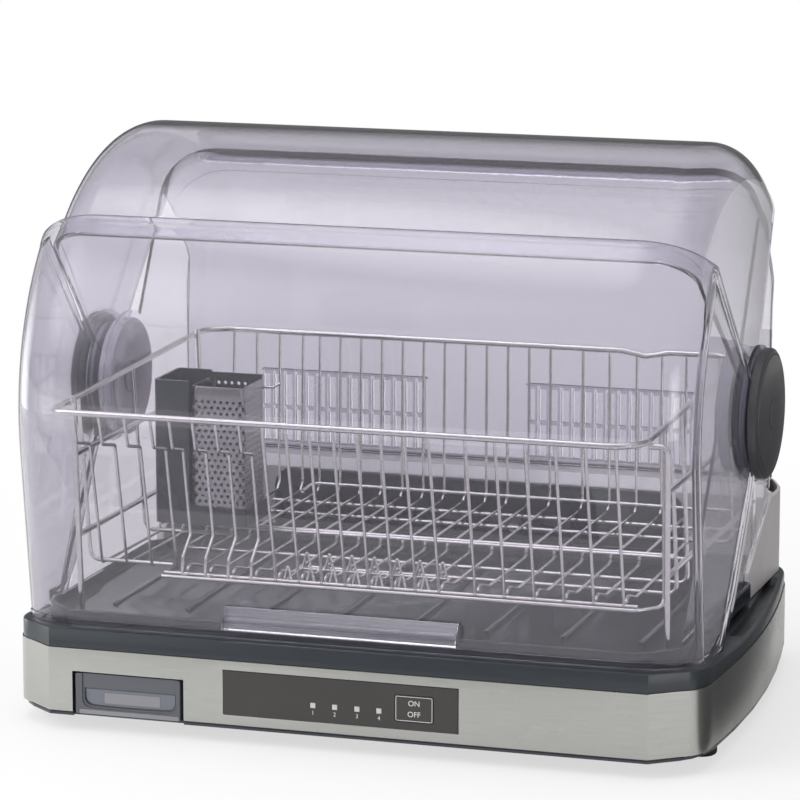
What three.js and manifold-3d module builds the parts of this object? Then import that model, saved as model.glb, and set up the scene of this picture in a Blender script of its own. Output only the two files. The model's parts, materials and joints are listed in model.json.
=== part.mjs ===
// Electric dish dryer: a wide metal-banded base, a clear dome of three nested shells on a
// side-to-side pivot, a wire basket on two stands, a cutlery holder and a warm-air blower.
// Millimetres, +X to the right, +Y to the back, +Z up. The origin is on the ground, under
// the middle of the box round the whole dryer, and the lid pivot is straight above it.

import * as THREE from 'three';
import { mergeVertices } from 'three/addons/utils/BufferGeometryUtils.js';
import Module from 'manifold-3d';

const wasm = await Module();
wasm.setup();

// Clearances and cutting values that every assembly shares.
const seatGap = 0.3;
const runningGap = 0.6;
const overrun = 20;
const weldTolerance = 0.0001;
const lidWall = 2.5;
const fullTurn = 2 * Math.PI;
const rightAngle = Math.PI / 2;

// The lid pivot, on the plane x = 0.
const hub = {
  y: 0,
  z: 227,
  boreRadius: 21,
  bossRadius: 20,
  ringRadius: 50,
  ringSteps: 20,
};

// The outline of the base seen from above.
const base = {
  frontY: -192.5,
  backY: 200,
  creaseX: 224.5,
  cornerStartX: 244,
  cornerStartY: -177,
  cornerPullX: 256.5,
  cornerPullY: -167,
  cornerEndY: -142.5,
  cornerSteps: 3,
  widestX: 262.9,
  widestY: -58,
  sideRadius: 1205,
  sideSteps: 5,
  rearCornerY: 150,
  rearCornerX: 195,
  rearPullX: 240,
  rearSteps: 4,
};

const foot = {
  radius: 12,
  height: 11.2,
  frontX: 243,
  frontY: -112,
  rearX: 212,
  rearY: 160,
  sides: 16,
};

const tub = {
  lipInset: 0.8,
  floorBottom: 11.5,
  floorTop: 13.3,
  wallInset: 1.8,
  wall: 2.5,
  wallTop: 61.8,
};

const band = {
  bottom: 14.5,
  top: 61.8,
  wall: 1.5,
};

const trim = {
  bottom: 62.1,
  frontTop: 76,
  sideTop: 71,
  slopeEndY: -61,
  slopeStartY: -185,
  outerInset: 0.8,
  innerInset: 15.5,
  ledgeBottom: 66,
  ledgeTop: 73.7,
  ledgeInset: 24,
  ledgeLap: 1,
  pocketInset: 5,
  pocketInnerX: 238,
  pocketFrontY: -45,
  pocketBackY: 138,
  deckFrontY: 150,
  deckTop: 71,
};

const screw = {
  headRadius: 3.6,
  headHeight: 1.8,
  shankRadius: 1.7,
  shankLength: 9,
  holeRadius: 2.2,
  sides: 10,
  frontX: 243,
  frontY: -62,
  rearX: 150,
  rearY: 172,
  postRadius: 4.6,
};

// Drip floor under the basket.
const floorTray = {
  frontY: -176.5,
  backY: 143,
  sideX: 241,
  creaseX: 216,
  cornerY: -152,
  stepY: 55,
  stepRun: 5,
  bottom: 74,
  floor: 78,
  rim: 87,
  wall: 3,
  ridgeCount: 8,
  ridgeWidth: 4,
  ridgeHeight: 2.5,
  ridgeFrontY: -120,
  ridgeBackY: 120,
  ridgeSpanX: 200,
  spoutX: -163,
  spoutY: -148,
  spoutRadius: 8,
  spoutBore: 5.5,
  spoutBottom: 52,
  spoutSides: 14,
};

// Drawer that catches the drained water.
const drain = {
  leftX: -206,
  rightX: -120.2,
  openingTop: 44.8,
  sideGap: 2.5,
  topGap: 1,
  bottom: 13.7,
  backY: -72,
  wall: 2.2,
  proud: 0.3,
  faceWall: 4,
  gripDepth: 1.8,
  gripTop: 32.5,
  gripBottom: 17,
  gripMargin: 9,
  guideWall: 2,
  guideTop: 48,
};

// Dark panel with its lamps and its one button.
const panel = {
  leftX: -89.5,
  rightX: 86.5,
  bottom: 22.2,
  top: 54.6,
  proud: 0.4,
  thickness: 3,
  lampX: [-21.5, -5.1, 11.6, 28],
  lampZ: 34.1,
  lampSize: 3.8,
  lampLength: 5,
  buttonLeft: 39.9,
  buttonRight: 68.5,
  buttonBottom: 27.8,
  buttonTop: 47.2,
  buttonTravel: 0.8,
  buttonProud: 0.3,
  buttonDepth: 2.6,
  postRadius: 2.5,
  postLength: 4.4,
  postX: 82,
  postSides: 8,
  boardWall: 1.6,
  boardMarginX: 2,
  boardMarginZ: 2.5,
  switchSize: 6.2,
  stemRadius: 1.7,
};

const powerBoard = {
  leftX: 50,
  rightX: 150,
  frontY: 10,
  backY: 80,
  bottom: 20,
  wall: 1.6,
  postRadius: 3,
  postInset: 6,
  relayWidth: 19,
  relayDepth: 16,
  relayHeight: 15,
  relayX: 76,
  relayY: 38,
};

// Body behind the dish space that holds the blower.
const housing = {
  frontY: 148,
  backY: 189,
  halfWidth: 237,
  bottom: 71.3,
  top: 142,
  wall: 2.5,
  shoulderX: 221,
  shoulderDrop: 9.4,
  cornerRadius: 24,
  cornerSteps: 4,
  armWidth: 6,
  armFrontY: 62,
  armFrontTop: 92,
  windowX: 158,
  windowBottom: 84,
  windowTop: 124,
  slotCount: 7,
  slotWidth: 4,
  slotPitch: 9,
  slotBottom: 88,
  slotTop: 126,
  railWidth: 5,
  railDepth: 5.2,
  railLip: 1.6,
};

const gasket = {
  halfWidth: housing.halfWidth - 9,
  frontY: 159,
  backY: 176,
  height: 3.2,
};

const ductPanel = {
  halfWidth: 168,
  bottom: 79.4,
  top: 131,
  wall: 2.6,
  cornerRadius: 14,
  cornerSteps: 4,
  slotCount: 6,
  slotLength: 26,
  slotHeight: 5,
  slotBottom: 98,
  slotPitch: 44,
};

const fan = {
  x: 120,
  z: 105,
  scrollRadius: 30.5,
  scrollFrontY: 151,
  scrollBackY: 184,
  scrollWall: 1.8,
  scrollSides: 24,
  outletX: 74,
  outletTop: 106,
  inletRadius: 18,
  motorRadius: 14,
  motorBackY: 162,
  shaftRadius: 2,
  shaftEndY: 178,
  wheelRadius: 26,
  wheelInner: 20,
  wheelFrontY: 163,
  wheelBackY: 181,
  wheelDisc: 1.6,
  wheelHub: 6,
  wheelSides: 18,
  bladeCount: 12,
  bladeWall: 1.6,
};

const heater = {
  ductLeftX: -36,
  ductWall: 1,
  coreLeftX: 10,
  coreRightX: 28,
  coreFrame: 3,
  finCount: 4,
  finWall: 1.2,
  finSetback: 1,
  thermostatX: 18,
  thermostatRadius: 8,
  thermostatHeight: 6,
};

const filter = {
  width: 76,
  bottom: 82,
  top: 130,
  wall: 3,
  frame: 5,
  barCount: 3,
  barWall: 2,
  tabWidth: 18,
  tabHeight: 6,
};

// Distance of the cord inlet from the housing's end.
const inletInset = 41;

const inlet = {
  x: inletInset - housing.halfWidth,
  z: 86,
  flangeRadius: 8,
  tipRadius: 5.2,
  boreRadius: 3.4,
  length: 10,
  neckRadius: 6,
  sides: 16,
};

// Outer lid: a barrel with chamfered ends, straight below the pivot.
const frontLid = {
  crownRadius: 200,
  crownEaseX: 212,
  crownEaseDrop: 0.7,
  shoulderX: 225,
  shoulderDrop: 3,
  midX: 240,
  midDrop: 14,
  creaseX: 252.5,
  creaseDrop: 26,
  hubX: 256.5,
  topAngle: 43.6,
  tangentAngle: 97.8,
  arcSteps: 10,
  skirtRun: 124,
  frontBottom: 76.6,
  sideBottom: 71.6,
  legBottomY: -87,
  legTopY: -16,
  legTopZ: 178,
  legKnee: 150,
  gripLeftX: -91,
  gripRightX: 85,
  gripTop: 100,
  gripKnee: 90,
  gripBottom: 84,
  gripReachInset: 8,
  gripLipInset: 13,
  gripRootInset: 18,
};

// Middle lid: the top of the dome, inside the outer lid's ends.
const topLid = {
  crownRadius: 195.5,
  cornerRadius: 31,
  cornerX: 211,
  cornerSteps: 4,
  hubX: 248.5,
  frontAngle: 48,
  rearAngle: 38,
  arcSteps: 16,
};

// Fixed rear shell: it carries the pivot and closes the back.
const rearCover = {
  crownRadius: 191,
  cornerRadius: 40,
  cornerX: 196,
  cornerSteps: 4,
  sideInnerRadius: 62,
  topAngle: 30,
  backY: 168.5,
  arcSteps: 6,
  bottom: 145.8,
  frontY: -38,
  frontBottom: 79.8,
  slopeTopZ: 194.5,
  reachY: -118,
  reachBottom: 88.5,
  footFrontY: -58,
  armGap: 1.2,
  spigotRadius: 13,
  ventLeftX: -186,
  ventRightX: 170,
  ventGap: 82,
  ventBottom: 148.8,
  ventTop: 202.5,
  ventBar: 175.6,
  ventBarHeight: 3,
  ventCount: 15,
  ventShare: 0.62,
};

// Pieces stacked along the pivot, outwards from the dish space.
const pivot = {
  discRadius: 44,
  discRimRadius: 38,
  discInnerX: 229,
  discStepX: 230.6,
  discSpigotEnd: 243,
  discSpigotRadius: 12,
  bossFlangeRadius: 29,
  bossFlangeWall: 2.4,
  bossBore: 13,
  bossEndX: 257.6,
  ringRadius: 41,
  ringNotch: 3,
  ringNotchWidth: 14,
  capRadius: 48,
  capEaseRadius: 44.5,
  capInnerX: 258.3,
  capEaseX: 264.4,
  capOuterX: 266.6,
  capStubEnd: 246,
  capStubRadius: 12,
  plugRadius: 11,
  plugWall: 1.4,
  plugProud: 0.4,
  sides: 24,
};

// Room between the basket's front rail and the lid's crown.
const basketLidGap = 29.5;

// Wire basket. Its rim leans forward a little. Insets are from the front or back rail.
const basket = {
  leftX: -223,
  rightX: 211,
  frontY: basketLidGap - frontLid.crownRadius,
  backY: 157,
  frontZ: 231.5,
  backZ: 238.5,
  cornerRadius: 24,
  cornerSteps: 4,
  rimWire: 2.4,
  rimSides: 6,
  wire: 1.2,
  railWire: 1.6,
  wireSides: 4,
  leftFirstX: -211.4,
  leftPitch: 19.8,
  leftCount: 4,
  middleFirstX: -134.4,
  middlePitch: 17.68,
  middleCount: 12,
  rightFirstX: 84.3,
  rightPitch: 21.9,
  rightCount: 6,
  bendInset: 19.5,
  bendZ: 141,
  footInset: 21.5,
  footZ: 110,
  jogTopInset: 7.5,
  jogTopZ: 208,
  jogEndInset: 31,
  jogEndZ: 203,
  jogFootInset: 51.5,
  jogFootZ: 107,
  ridgeY: 20,
  ridgeZ: 109,
  dropZ: 99,
  rearFootInset: 17,
  rearFootZ: 112,
  rearBottomInset: 28,
  rearBottomZ: 100,
  sideInset: 9,
  floorSplitZ: 113.5,
  leftSplitInset: 9.9,
  rightSplitInset: 13,
  middleY: 0,
};

// Floor wires that run from side to side: inset from the front or back rail, or place, height,
// whether they rise to the rim, and where a short one ends.
const crossWires = [
  { y: basket.frontY + 22.5, z: 108, rises: false },
  { y: basket.frontY + 52.5, z: 105, rises: true, endX: -150 },
  { y: -58, z: 99.5, rises: false },
  { y: -24, z: 99.5, rises: true },
  { y: basket.ridgeY, z: 107, rises: true },
  { y: basket.backY - 77, z: 103, rises: true },
  { y: basket.backY - 33, z: 100.5, rises: true },
];

// Two wire stands that the basket rests on.
const stand = {
  wire: 2.2,
  sides: 6,
  leftX: -224.8,
  rightX: 222,
  frontY: -142.5,
  backY: 118.6,
  railHeights: [195, 135],
};

const prongs = {
  firstX: -72,
  pitch: 18.4,
  rows: [
    { y: basket.frontY + 86.5, count: 7, shift: 0 },
    { y: basket.frontY + 58.5, count: 7, shift: -4 },
  ],
  height: 20,
  spread: 5.5,
  wire: 1.2,
  sides: 4,
  tieInset: 3,
};

const holder = {
  leftX: -190,
  rightX: -119,
  frontY: -52,
  backY: 0,
  bottom: 127,
  top: 237,
  wall: 2.4,
  windowLeftX: -164,
  windowBottom: 141,
  windowTop: 229,
  hookTop: 237.7,
  hookWall: 2,
  hookGap: 0.5,
  hookDrop: 10,
  hookFrontY: -40,
  hookBackY: -12,
  linerGap: 0.5,
  linerWall: 0.9,
  linerTop: 240,
  linerFloor: 140,
  holeRows: 6,
  holeColumns: 4,
  holeSize: 4.5,
};

// Colours and finishes.
const finishes = {
  metal: { color: 0xb6b7ae, roughness: 0.32, metalness: 0.85 },
  wire: { color: 0xc9cac6, roughness: 0.25, metalness: 0.9 },
  perforated: { color: 0xb9bab6, roughness: 0.35, metalness: 0.85 },
  slate: { color: 0x3f454c, roughness: 0.5, metalness: 0 },
  trim: { color: 0x454b53, roughness: 0.45, metalness: 0 },
  clear: { color: 0xc4c2ce, roughness: 0.08, metalness: 0, transparent: true, opacity: 0.35 },
  smoke: { color: 0x8d94a3, roughness: 0.15, metalness: 0, transparent: true, opacity: 0.6 },
  cap: { color: 0x505054, roughness: 0.45, metalness: 0 },
  panel: { color: 0x48443f, roughness: 0.35, metalness: 0 },
  lamp: { color: 0xd9d8d2, roughness: 0.3, metalness: 0 },
  greyShell: { color: 0xb0a7a1, roughness: 0.5, metalness: 0 },
  rubber: { color: 0x2b2c2e, roughness: 0.8, metalness: 0 },
  board: { color: 0x2f5a3c, roughness: 0.6, metalness: 0 },
  steel: { color: 0x9a9b9c, roughness: 0.35, metalness: 0.9 },
  black: { color: 0x1f2022, roughness: 0.55, metalness: 0 },
  whitePlastic: { color: 0xd8d6cf, roughness: 0.5, metalness: 0 },
};

// Solids from geometries, and back.

function signedVolume(positions, indices) {
  const a = new THREE.Vector3();
  const b = new THREE.Vector3();
  const c = new THREE.Vector3();
  let volume = 0;
  for (let i = 0; i < indices.length; i += 3) {
    a.fromArray(positions, 3 * indices[i]);
    b.fromArray(positions, 3 * indices[i + 1]);
    c.fromArray(positions, 3 * indices[i + 2]);
    volume += a.dot(b.cross(c));
  }
  return volume;
}

function solid(geometry) {
  const bare = geometry.clone();
  bare.deleteAttribute('normal');
  bare.deleteAttribute('uv');
  const merged = mergeVertices(bare, weldTolerance);
  const positions = merged.attributes.position.array;
  const indices = Uint32Array.from(merged.index.array);
  if (signedVolume(positions, indices) < 0) {
    for (let i = 0; i < indices.length; i += 3) {
      const swap = indices[i + 1];
      indices[i + 1] = indices[i + 2];
      indices[i + 2] = swap;
    }
  }
  return new wasm.Manifold(new wasm.Mesh({
    numProp: 3,
    vertProperties: Float32Array.from(positions),
    triVerts: indices,
  }));
}

function geometryOf(manifold) {
  const mesh = manifold.getMesh();
  const geometry = new THREE.BufferGeometry();
  geometry.setAttribute('position', new THREE.BufferAttribute(mesh.vertProperties, mesh.numProp));
  geometry.setIndex(new THREE.BufferAttribute(mesh.triVerts, 1));
  geometry.computeVertexNormals();
  return geometry;
}

function join(first, ...others) {
  return others.reduce((whole, next) => whole.add(next), first);
}

function cut(first, ...tools) {
  return tools.reduce((whole, tool) => whole.subtract(tool), first);
}

function mirroredX(manifold) {
  const geometry = geometryOf(manifold);
  geometry.scale(-1, 1, 1);
  return solid(geometry);
}

// Simple shapes.

function block(x0, x1, y0, y1, z0, z1) {
  const geometry = new THREE.BoxGeometry(x1 - x0, y1 - y0, z1 - z0);
  geometry.translate((x0 + x1) / 2, (y0 + y1) / 2, (z0 + z1) / 2);
  return solid(geometry);
}

function extruded(points, length) {
  const shape = new THREE.Shape(points.map(([u, v]) => new THREE.Vector2(u, v)));
  return new THREE.ExtrudeGeometry(shape, { depth: length, bevelEnabled: false });
}

// An outline in x and y, standing from z0 to z1.
function plate(points, z0, z1) {
  const geometry = extruded(points, z1 - z0);
  geometry.translate(0, 0, z0);
  return solid(geometry);
}

// An outline in y and z, lying from x0 to x1.
function sideways(points, x0, x1) {
  const geometry = extruded(points, x1 - x0);
  const turn = new THREE.Matrix4().makeBasis(
    new THREE.Vector3(0, 1, 0),
    new THREE.Vector3(0, 0, 1),
    new THREE.Vector3(1, 0, 0),
  );
  geometry.applyMatrix4(turn);
  geometry.translate(x0, 0, 0);
  return solid(geometry);
}

// An outline in x and z, lying from y0 to y1.
function endways(points, y0, y1) {
  const geometry = extruded(points, y1 - y0);
  geometry.rotateX(rightAngle);
  geometry.translate(0, y1, 0);
  return solid(geometry);
}

function rod(axis, radius, sides, start, length) {
  const geometry = new THREE.CylinderGeometry(radius, radius, length, sides);
  geometry.translate(0, length / 2, 0);
  if (axis === 'x') {
    geometry.rotateZ(-rightAngle);
  }
  if (axis === 'z') {
    geometry.rotateX(rightAngle);
  }
  geometry.translate(...start);
  return solid(geometry);
}

// A profile of [radius, along] points turned round an axis, closed by its own first point.
function turned(axis, profile, sides, centre) {
  const points = profile.map(([radius, along]) => new THREE.Vector2(radius, along));
  const geometry = new THREE.LatheGeometry([...points, points[0].clone()], sides);
  if (axis === 'x') {
    geometry.rotateZ(-rightAngle);
  }
  if (axis === 'z') {
    geometry.rotateX(rightAngle);
  }
  geometry.translate(...centre);
  return solid(geometry);
}

// Outlines.

function unit(from, to) {
  const length = Math.hypot(to[0] - from[0], to[1] - from[1]);
  return [(to[0] - from[0]) / length, (to[1] - from[1]) / length];
}

// Moves each edge of an outline to its left by a distance and joins the edges again.
function shifted(points, distance, closed) {
  const last = points.length - 1;
  return points.map((point, i) => {
    const before = i > 0 ? points[i - 1] : (closed ? points[last] : null);
    const after = i < last ? points[i + 1] : (closed ? points[0] : null);
    const first = unit(before ?? point, before ? point : after);
    const second = unit(after ? point : before, after ?? point);
    const normalA = [-first[1], first[0]];
    const normalB = [-second[1], second[0]];
    const share = distance / (1 + normalA[0] * normalB[0] + normalA[1] * normalB[1]);
    return [
      point[0] + share * (normalA[0] + normalB[0]),
      point[1] + share * (normalA[1] + normalB[1]),
    ];
  });
}

function bend(start, pull, end, steps) {
  const curve = new THREE.QuadraticBezierCurve(
    new THREE.Vector2(...start),
    new THREE.Vector2(...pull),
    new THREE.Vector2(...end),
  );
  return curve.getPoints(steps).map((point) => [point.x, point.y]);
}

function arc(centre, radius, from, to, steps) {
  const points = [];
  for (let i = 0; i <= steps; i += 1) {
    const angle = from + ((to - from) * i) / steps;
    points.push([centre[0] + radius * Math.cos(angle), centre[1] + radius * Math.sin(angle)]);
  }
  return points;
}

function sideX(y) {
  return base.widestX - (y - base.widestY) ** 2 / (2 * base.sideRadius);
}

function baseOutline() {
  const right = [[base.creaseX, base.frontY]];
  right.push(...bend(
    [base.cornerStartX, base.cornerStartY],
    [base.cornerPullX, base.cornerPullY],
    [sideX(base.cornerEndY), base.cornerEndY],
    base.cornerSteps,
  ));
  const sideLength = base.rearCornerY - base.cornerEndY;
  for (let i = 1; i < base.sideSteps; i += 1) {
    const y = base.cornerEndY + (sideLength * i) / base.sideSteps;
    right.push([sideX(y), y]);
  }
  right.push(...bend(
    [sideX(base.rearCornerY), base.rearCornerY],
    [base.rearPullX, base.backY],
    [base.rearCornerX, base.backY],
    base.rearSteps,
  ));
  const left = right.map(([x, y]) => [-x, y]).reverse();
  return [...right, ...left];
}

const outline = baseOutline();

function inset(distance) {
  return shifted(outline, distance, true);
}

// Wires: a bent tube with mitred corners.
function wire(points, radius, sides, closed = false) {
  const path = points.map((point) => new THREE.Vector3(...point));
  const count = path.length;
  const positions = [];
  const indices = [];
  const direction = (i) => path[(i + 1) % count].clone().sub(path[i % count]).normalize();
  let heading = direction(0);
  const helper = Math.abs(heading.z) < Math.SQRT1_2 ? new THREE.Vector3(0, 0, 1) : new THREE.Vector3(0, 1, 0);
  const spread = new THREE.Vector3().crossVectors(heading, helper).normalize();
  const first = new THREE.Vector3().crossVectors(heading, spread);
  let frame = [spread, first];
  for (let i = 0; i < count; i += 1) {
    const incoming = closed ? direction((i + count - 1) % count) : (i > 0 ? direction(i - 1) : heading);
    const outgoing = closed || i < count - 1 ? direction(i) : incoming;
    const turn = new THREE.Quaternion().setFromUnitVectors(heading, incoming);
    frame = frame.map((axis) => axis.clone().applyQuaternion(turn));
    const mitre = incoming.clone().add(outgoing).normalize();
    for (let j = 0; j < sides; j += 1) {
      const angle = (fullTurn * (j + 1 / 2)) / sides;
      const offset = frame[0].clone().multiplyScalar(radius * Math.cos(angle));
      offset.addScaledVector(frame[1], radius * Math.sin(angle));
      offset.addScaledVector(incoming, -offset.dot(mitre) / incoming.dot(mitre));
      offset.add(path[i]);
      positions.push(offset.x, offset.y, offset.z);
    }
    heading = incoming;
  }
  const spans = closed ? count : count - 1;
  for (let i = 0; i < spans; i += 1) {
    const next = (i + 1) % count;
    for (let j = 0; j < sides; j += 1) {
      const a = i * sides + j;
      const b = i * sides + ((j + 1) % sides);
      const c = next * sides + j;
      const d = next * sides + ((j + 1) % sides);
      indices.push(a, b, c, b, d, c);
    }
  }
  if (!closed) {
    const end = (count - 1) * sides;
    for (let j = 1; j < sides - 1; j += 1) {
      indices.push(0, j + 1, j, end, end + j, end + j + 1);
    }
  }
  const geometry = new THREE.BufferGeometry();
  geometry.setAttribute('position', new THREE.Float32BufferAttribute(positions, 3));
  geometry.setIndex(indices);
  return solid(geometry);
}

// A closed section carried through a row of places, with both ends capped.
function swept(section, places) {
  const positions = [];
  const indices = [];
  const size = section.length;
  places.forEach((place) => {
    section.forEach(([x, radius]) => positions.push(...place(x, radius)));
  });
  for (let i = 0; i < places.length - 1; i += 1) {
    for (let j = 0; j < size; j += 1) {
      const k = (j + 1) % size;
      const a = i * size + j;
      const b = i * size + k;
      indices.push(a, b, a + size, b, b + size, a + size);
    }
  }
  const shape = section.map(([x, radius]) => new THREE.Vector2(x, radius));
  const faces = THREE.ShapeUtils.triangulateShape(shape, []);
  const end = (places.length - 1) * size;
  faces.forEach(([a, b, c]) => {
    indices.push(a, c, b, end + a, end + b, end + c);
  });
  const geometry = new THREE.BufferGeometry();
  geometry.setAttribute('position', new THREE.Float32BufferAttribute(positions, 3));
  geometry.setIndex(indices);
  return solid(geometry);
}

// Places round the pivot. The angle starts at the top and grows towards the front.
function roundPivot(degrees) {
  const angle = THREE.MathUtils.degToRad(degrees);
  return (x, radius) => [
    x,
    hub.y - radius * Math.sin(angle),
    hub.z + radius * Math.cos(angle),
  ];
}

function pivotPoint(degrees, radius) {
  const place = roundPivot(degrees)(0, radius);
  return [place[1], place[2]];
}

// A wall of even thickness from the outer line of one end, hub to middle, and its mirror.
function shellSection(half, wall) {
  const left = half.map(([x, radius]) => [-x, radius]).reverse();
  const outer = [...half, ...left];
  const inner = shifted(outer, wall, false).reverse();
  return [...outer, ...inner];
}

function hubRing(x0, x1, radius) {
  const profile = [[hub.boreRadius, 0], [radius, 0], [radius, x1 - x0], [hub.boreRadius, x1 - x0]];
  return turned('x', profile, pivot.sides, [x0, hub.y, hub.z]);
}

const parts = [];

function add(name, manifold, finish) {
  const mesh = new THREE.Mesh(geometryOf(manifold), new THREE.MeshStandardMaterial(finish));
  mesh.name = name;
  parts.push(mesh);
}

// Base: feet, tub, metal band, trim and screws.

function buildFeet() {
  const places = {
    foot_front_left: [-foot.frontX, foot.frontY],
    foot_front_right: [foot.frontX, foot.frontY],
    foot_rear_left: [-foot.rearX, foot.rearY],
    foot_rear_right: [foot.rearX, foot.rearY],
  };
  Object.entries(places).forEach(([name, [x, y]]) => {
    add(name, rod('z', foot.radius, foot.sides, [x, y, 0], foot.height), finishes.rubber);
  });
}

const screwPlaces = [
  [-screw.frontX, screw.frontY],
  [screw.frontX, screw.frontY],
  [-screw.rearX, screw.rearY],
  [screw.rearX, screw.rearY],
];

function buildScrews() {
  const headBottom = tub.floorBottom - seatGap - screw.headHeight;
  screwPlaces.forEach(([x, y], i) => {
    const head = rod('z', screw.headRadius, screw.sides, [x, y, headBottom], screw.headHeight);
    const shank = rod('z', screw.shankRadius, screw.sides, [x, y, headBottom], screw.shankLength);
    add(`base_screw_${i + 1}`, join(head, shank), finishes.steel);
  });
}

function drainBay() {
  return block(drain.leftX, drain.rightX, base.frontY - overrun, drain.backY, 0, drain.openingTop);
}

function panelBay(gap, depth) {
  return block(
    panel.leftX - gap,
    panel.rightX + gap,
    base.frontY - overrun,
    base.frontY + depth,
    panel.bottom - gap,
    panel.top + gap,
  );
}

function buildTub() {
  const lip = plate(inset(tub.lipInset), tub.floorBottom, tub.floorTop);
  const shell = plate(inset(tub.wallInset), tub.floorBottom, tub.wallTop);
  const hollow = plate(inset(tub.wallInset + tub.wall), tub.floorTop, tub.wallTop + overrun);
  let body = cut(join(lip, shell), hollow);
  const frontWallDepth = tub.wallInset + tub.wall + overrun;
  const mouth = block(
    drain.leftX,
    drain.rightX,
    base.frontY - overrun,
    base.frontY + frontWallDepth,
    tub.floorTop,
    drain.openingTop,
  );
  const lipMouth = block(
    drain.leftX,
    drain.rightX,
    base.frontY - overrun,
    base.frontY + tub.wallInset + tub.wall,
    0,
    drain.openingTop,
  );
  body = cut(body, mouth, lipMouth, panelBay(seatGap, tub.wallInset + tub.wall + overrun));
  const guideFront = base.frontY + tub.wallInset + tub.wall / 2;
  const guideLeft = block(
    drain.leftX - drain.guideWall,
    drain.leftX,
    guideFront,
    drain.backY,
    tub.floorTop - tub.wall / 2,
    drain.guideTop,
  );
  const guideRight = block(
    drain.rightX,
    drain.rightX + drain.guideWall,
    guideFront,
    drain.backY,
    tub.floorTop - tub.wall / 2,
    drain.guideTop,
  );
  body = join(body, guideLeft, guideRight);
  for (const x of [powerBoard.leftX + powerBoard.postInset, powerBoard.rightX - powerBoard.postInset]) {
    for (const y of [powerBoard.frontY + powerBoard.postInset, powerBoard.backY - powerBoard.postInset]) {
      const start = [x, y, tub.floorBottom];
      const height = powerBoard.bottom - seatGap - tub.floorBottom;
      body = body.add(rod('z', powerBoard.postRadius, panel.postSides, start, height));
    }
  }
  screwPlaces.forEach(([x, y]) => {
    body = body.subtract(rod('z', screw.holeRadius, screw.sides, [x, y, 0], tub.wallTop));
  });
  add('base_tub', body, finishes.slate);
}

function buildBand() {
  const outer = plate(outline, band.bottom, band.top);
  const inner = plate(inset(band.wall), band.bottom - overrun, band.top + overrun);
  const depth = band.wall + overrun;
  add('base_band', cut(outer, inner, drainBay(), panelBay(seatGap, depth)), finishes.metal);
}

function buildTrim() {
  const outer = plate(inset(trim.outerInset), trim.bottom, trim.frontTop);
  const opening = plate(inset(trim.innerInset), trim.bottom - overrun, trim.frontTop + overrun);
  const ledge = cut(
    plate(inset(trim.innerInset - trim.ledgeLap), trim.ledgeBottom, trim.ledgeTop),
    plate(inset(trim.ledgeInset), trim.ledgeBottom - overrun, trim.ledgeTop + overrun),
  );
  const farBack = base.backY + overrun;
  const slope = sideways([
    [trim.slopeStartY, trim.frontTop],
    [trim.slopeEndY, trim.sideTop],
    [farBack, trim.sideTop],
    [farBack, trim.frontTop + overrun],
    [trim.slopeStartY, trim.frontTop + overrun],
  ], -base.widestX - overrun, base.widestX + overrun);
  const deck = plate(
    inset(trim.innerInset - trim.ledgeLap),
    trim.ledgeBottom,
    trim.deckTop,
  ).intersect(block(-base.widestX, base.widestX, trim.deckFrontY, farBack, 0, trim.deckTop));
  const pocket = plate(inset(trim.pocketInset), trim.bottom - overrun, trim.frontTop + overrun)
    .subtract(block(
      -trim.pocketInnerX,
      trim.pocketInnerX,
      base.frontY,
      base.backY,
      trim.bottom - overrun,
      trim.frontTop + overrun,
    ))
    .intersect(block(
      -base.widestX,
      base.widestX,
      trim.pocketFrontY,
      trim.pocketBackY,
      trim.bottom - overrun,
      trim.frontTop + overrun,
    ));
  let ring = join(cut(outer, opening), ledge, deck);
  screwPlaces.forEach(([x, y]) => {
    const start = [x, y, tub.floorTop + seatGap];
    const post = rod('z', screw.postRadius, screw.sides, start, trim.deckTop - start[2]);
    const hole = rod('z', screw.holeRadius, screw.sides, [x, y, 0], trim.ledgeBottom);
    ring = ring.add(post).subtract(hole);
  });
  add('base_trim', cut(ring, slope, pocket), finishes.trim);
}

// Drip floor and drain drawer.

function trayOutline() {
  const rearX = housing.halfWidth - housing.armWidth - runningGap;
  const right = [
    [floorTray.creaseX, floorTray.frontY],
    [floorTray.sideX, floorTray.cornerY],
    [floorTray.sideX, floorTray.stepY],
    [rearX, floorTray.stepY + floorTray.stepRun],
    [rearX, floorTray.backY],
  ];
  return [...right, ...right.map(([x, y]) => [-x, y]).reverse()];
}

function buildFloorTray() {
  const shape = trayOutline();
  const outer = plate(shape, floorTray.bottom, floorTray.rim);
  const inner = plate(shifted(shape, floorTray.wall, true), floorTray.floor, floorTray.rim + overrun);
  let body = outer.subtract(inner);
  const pitch = (2 * floorTray.ridgeSpanX) / (floorTray.ridgeCount - 1);
  for (let i = 0; i < floorTray.ridgeCount; i += 1) {
    const x = -floorTray.ridgeSpanX + pitch * i;
    body = body.add(block(
      x - floorTray.ridgeWidth / 2,
      x + floorTray.ridgeWidth / 2,
      floorTray.ridgeFrontY,
      floorTray.ridgeBackY,
      floorTray.bottom,
      floorTray.floor + floorTray.ridgeHeight,
    ));
  }
  const spoutStart = [floorTray.spoutX, floorTray.spoutY, floorTray.spoutBottom];
  const spoutLength = floorTray.floor - floorTray.spoutBottom;
  const spout = rod('z', floorTray.spoutRadius, floorTray.spoutSides, spoutStart, spoutLength);
  const bore = rod('z', floorTray.spoutBore, floorTray.spoutSides, spoutStart, spoutLength + overrun);
  add('floor_tray', cut(join(body, spout), bore), finishes.slate);
}

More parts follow.
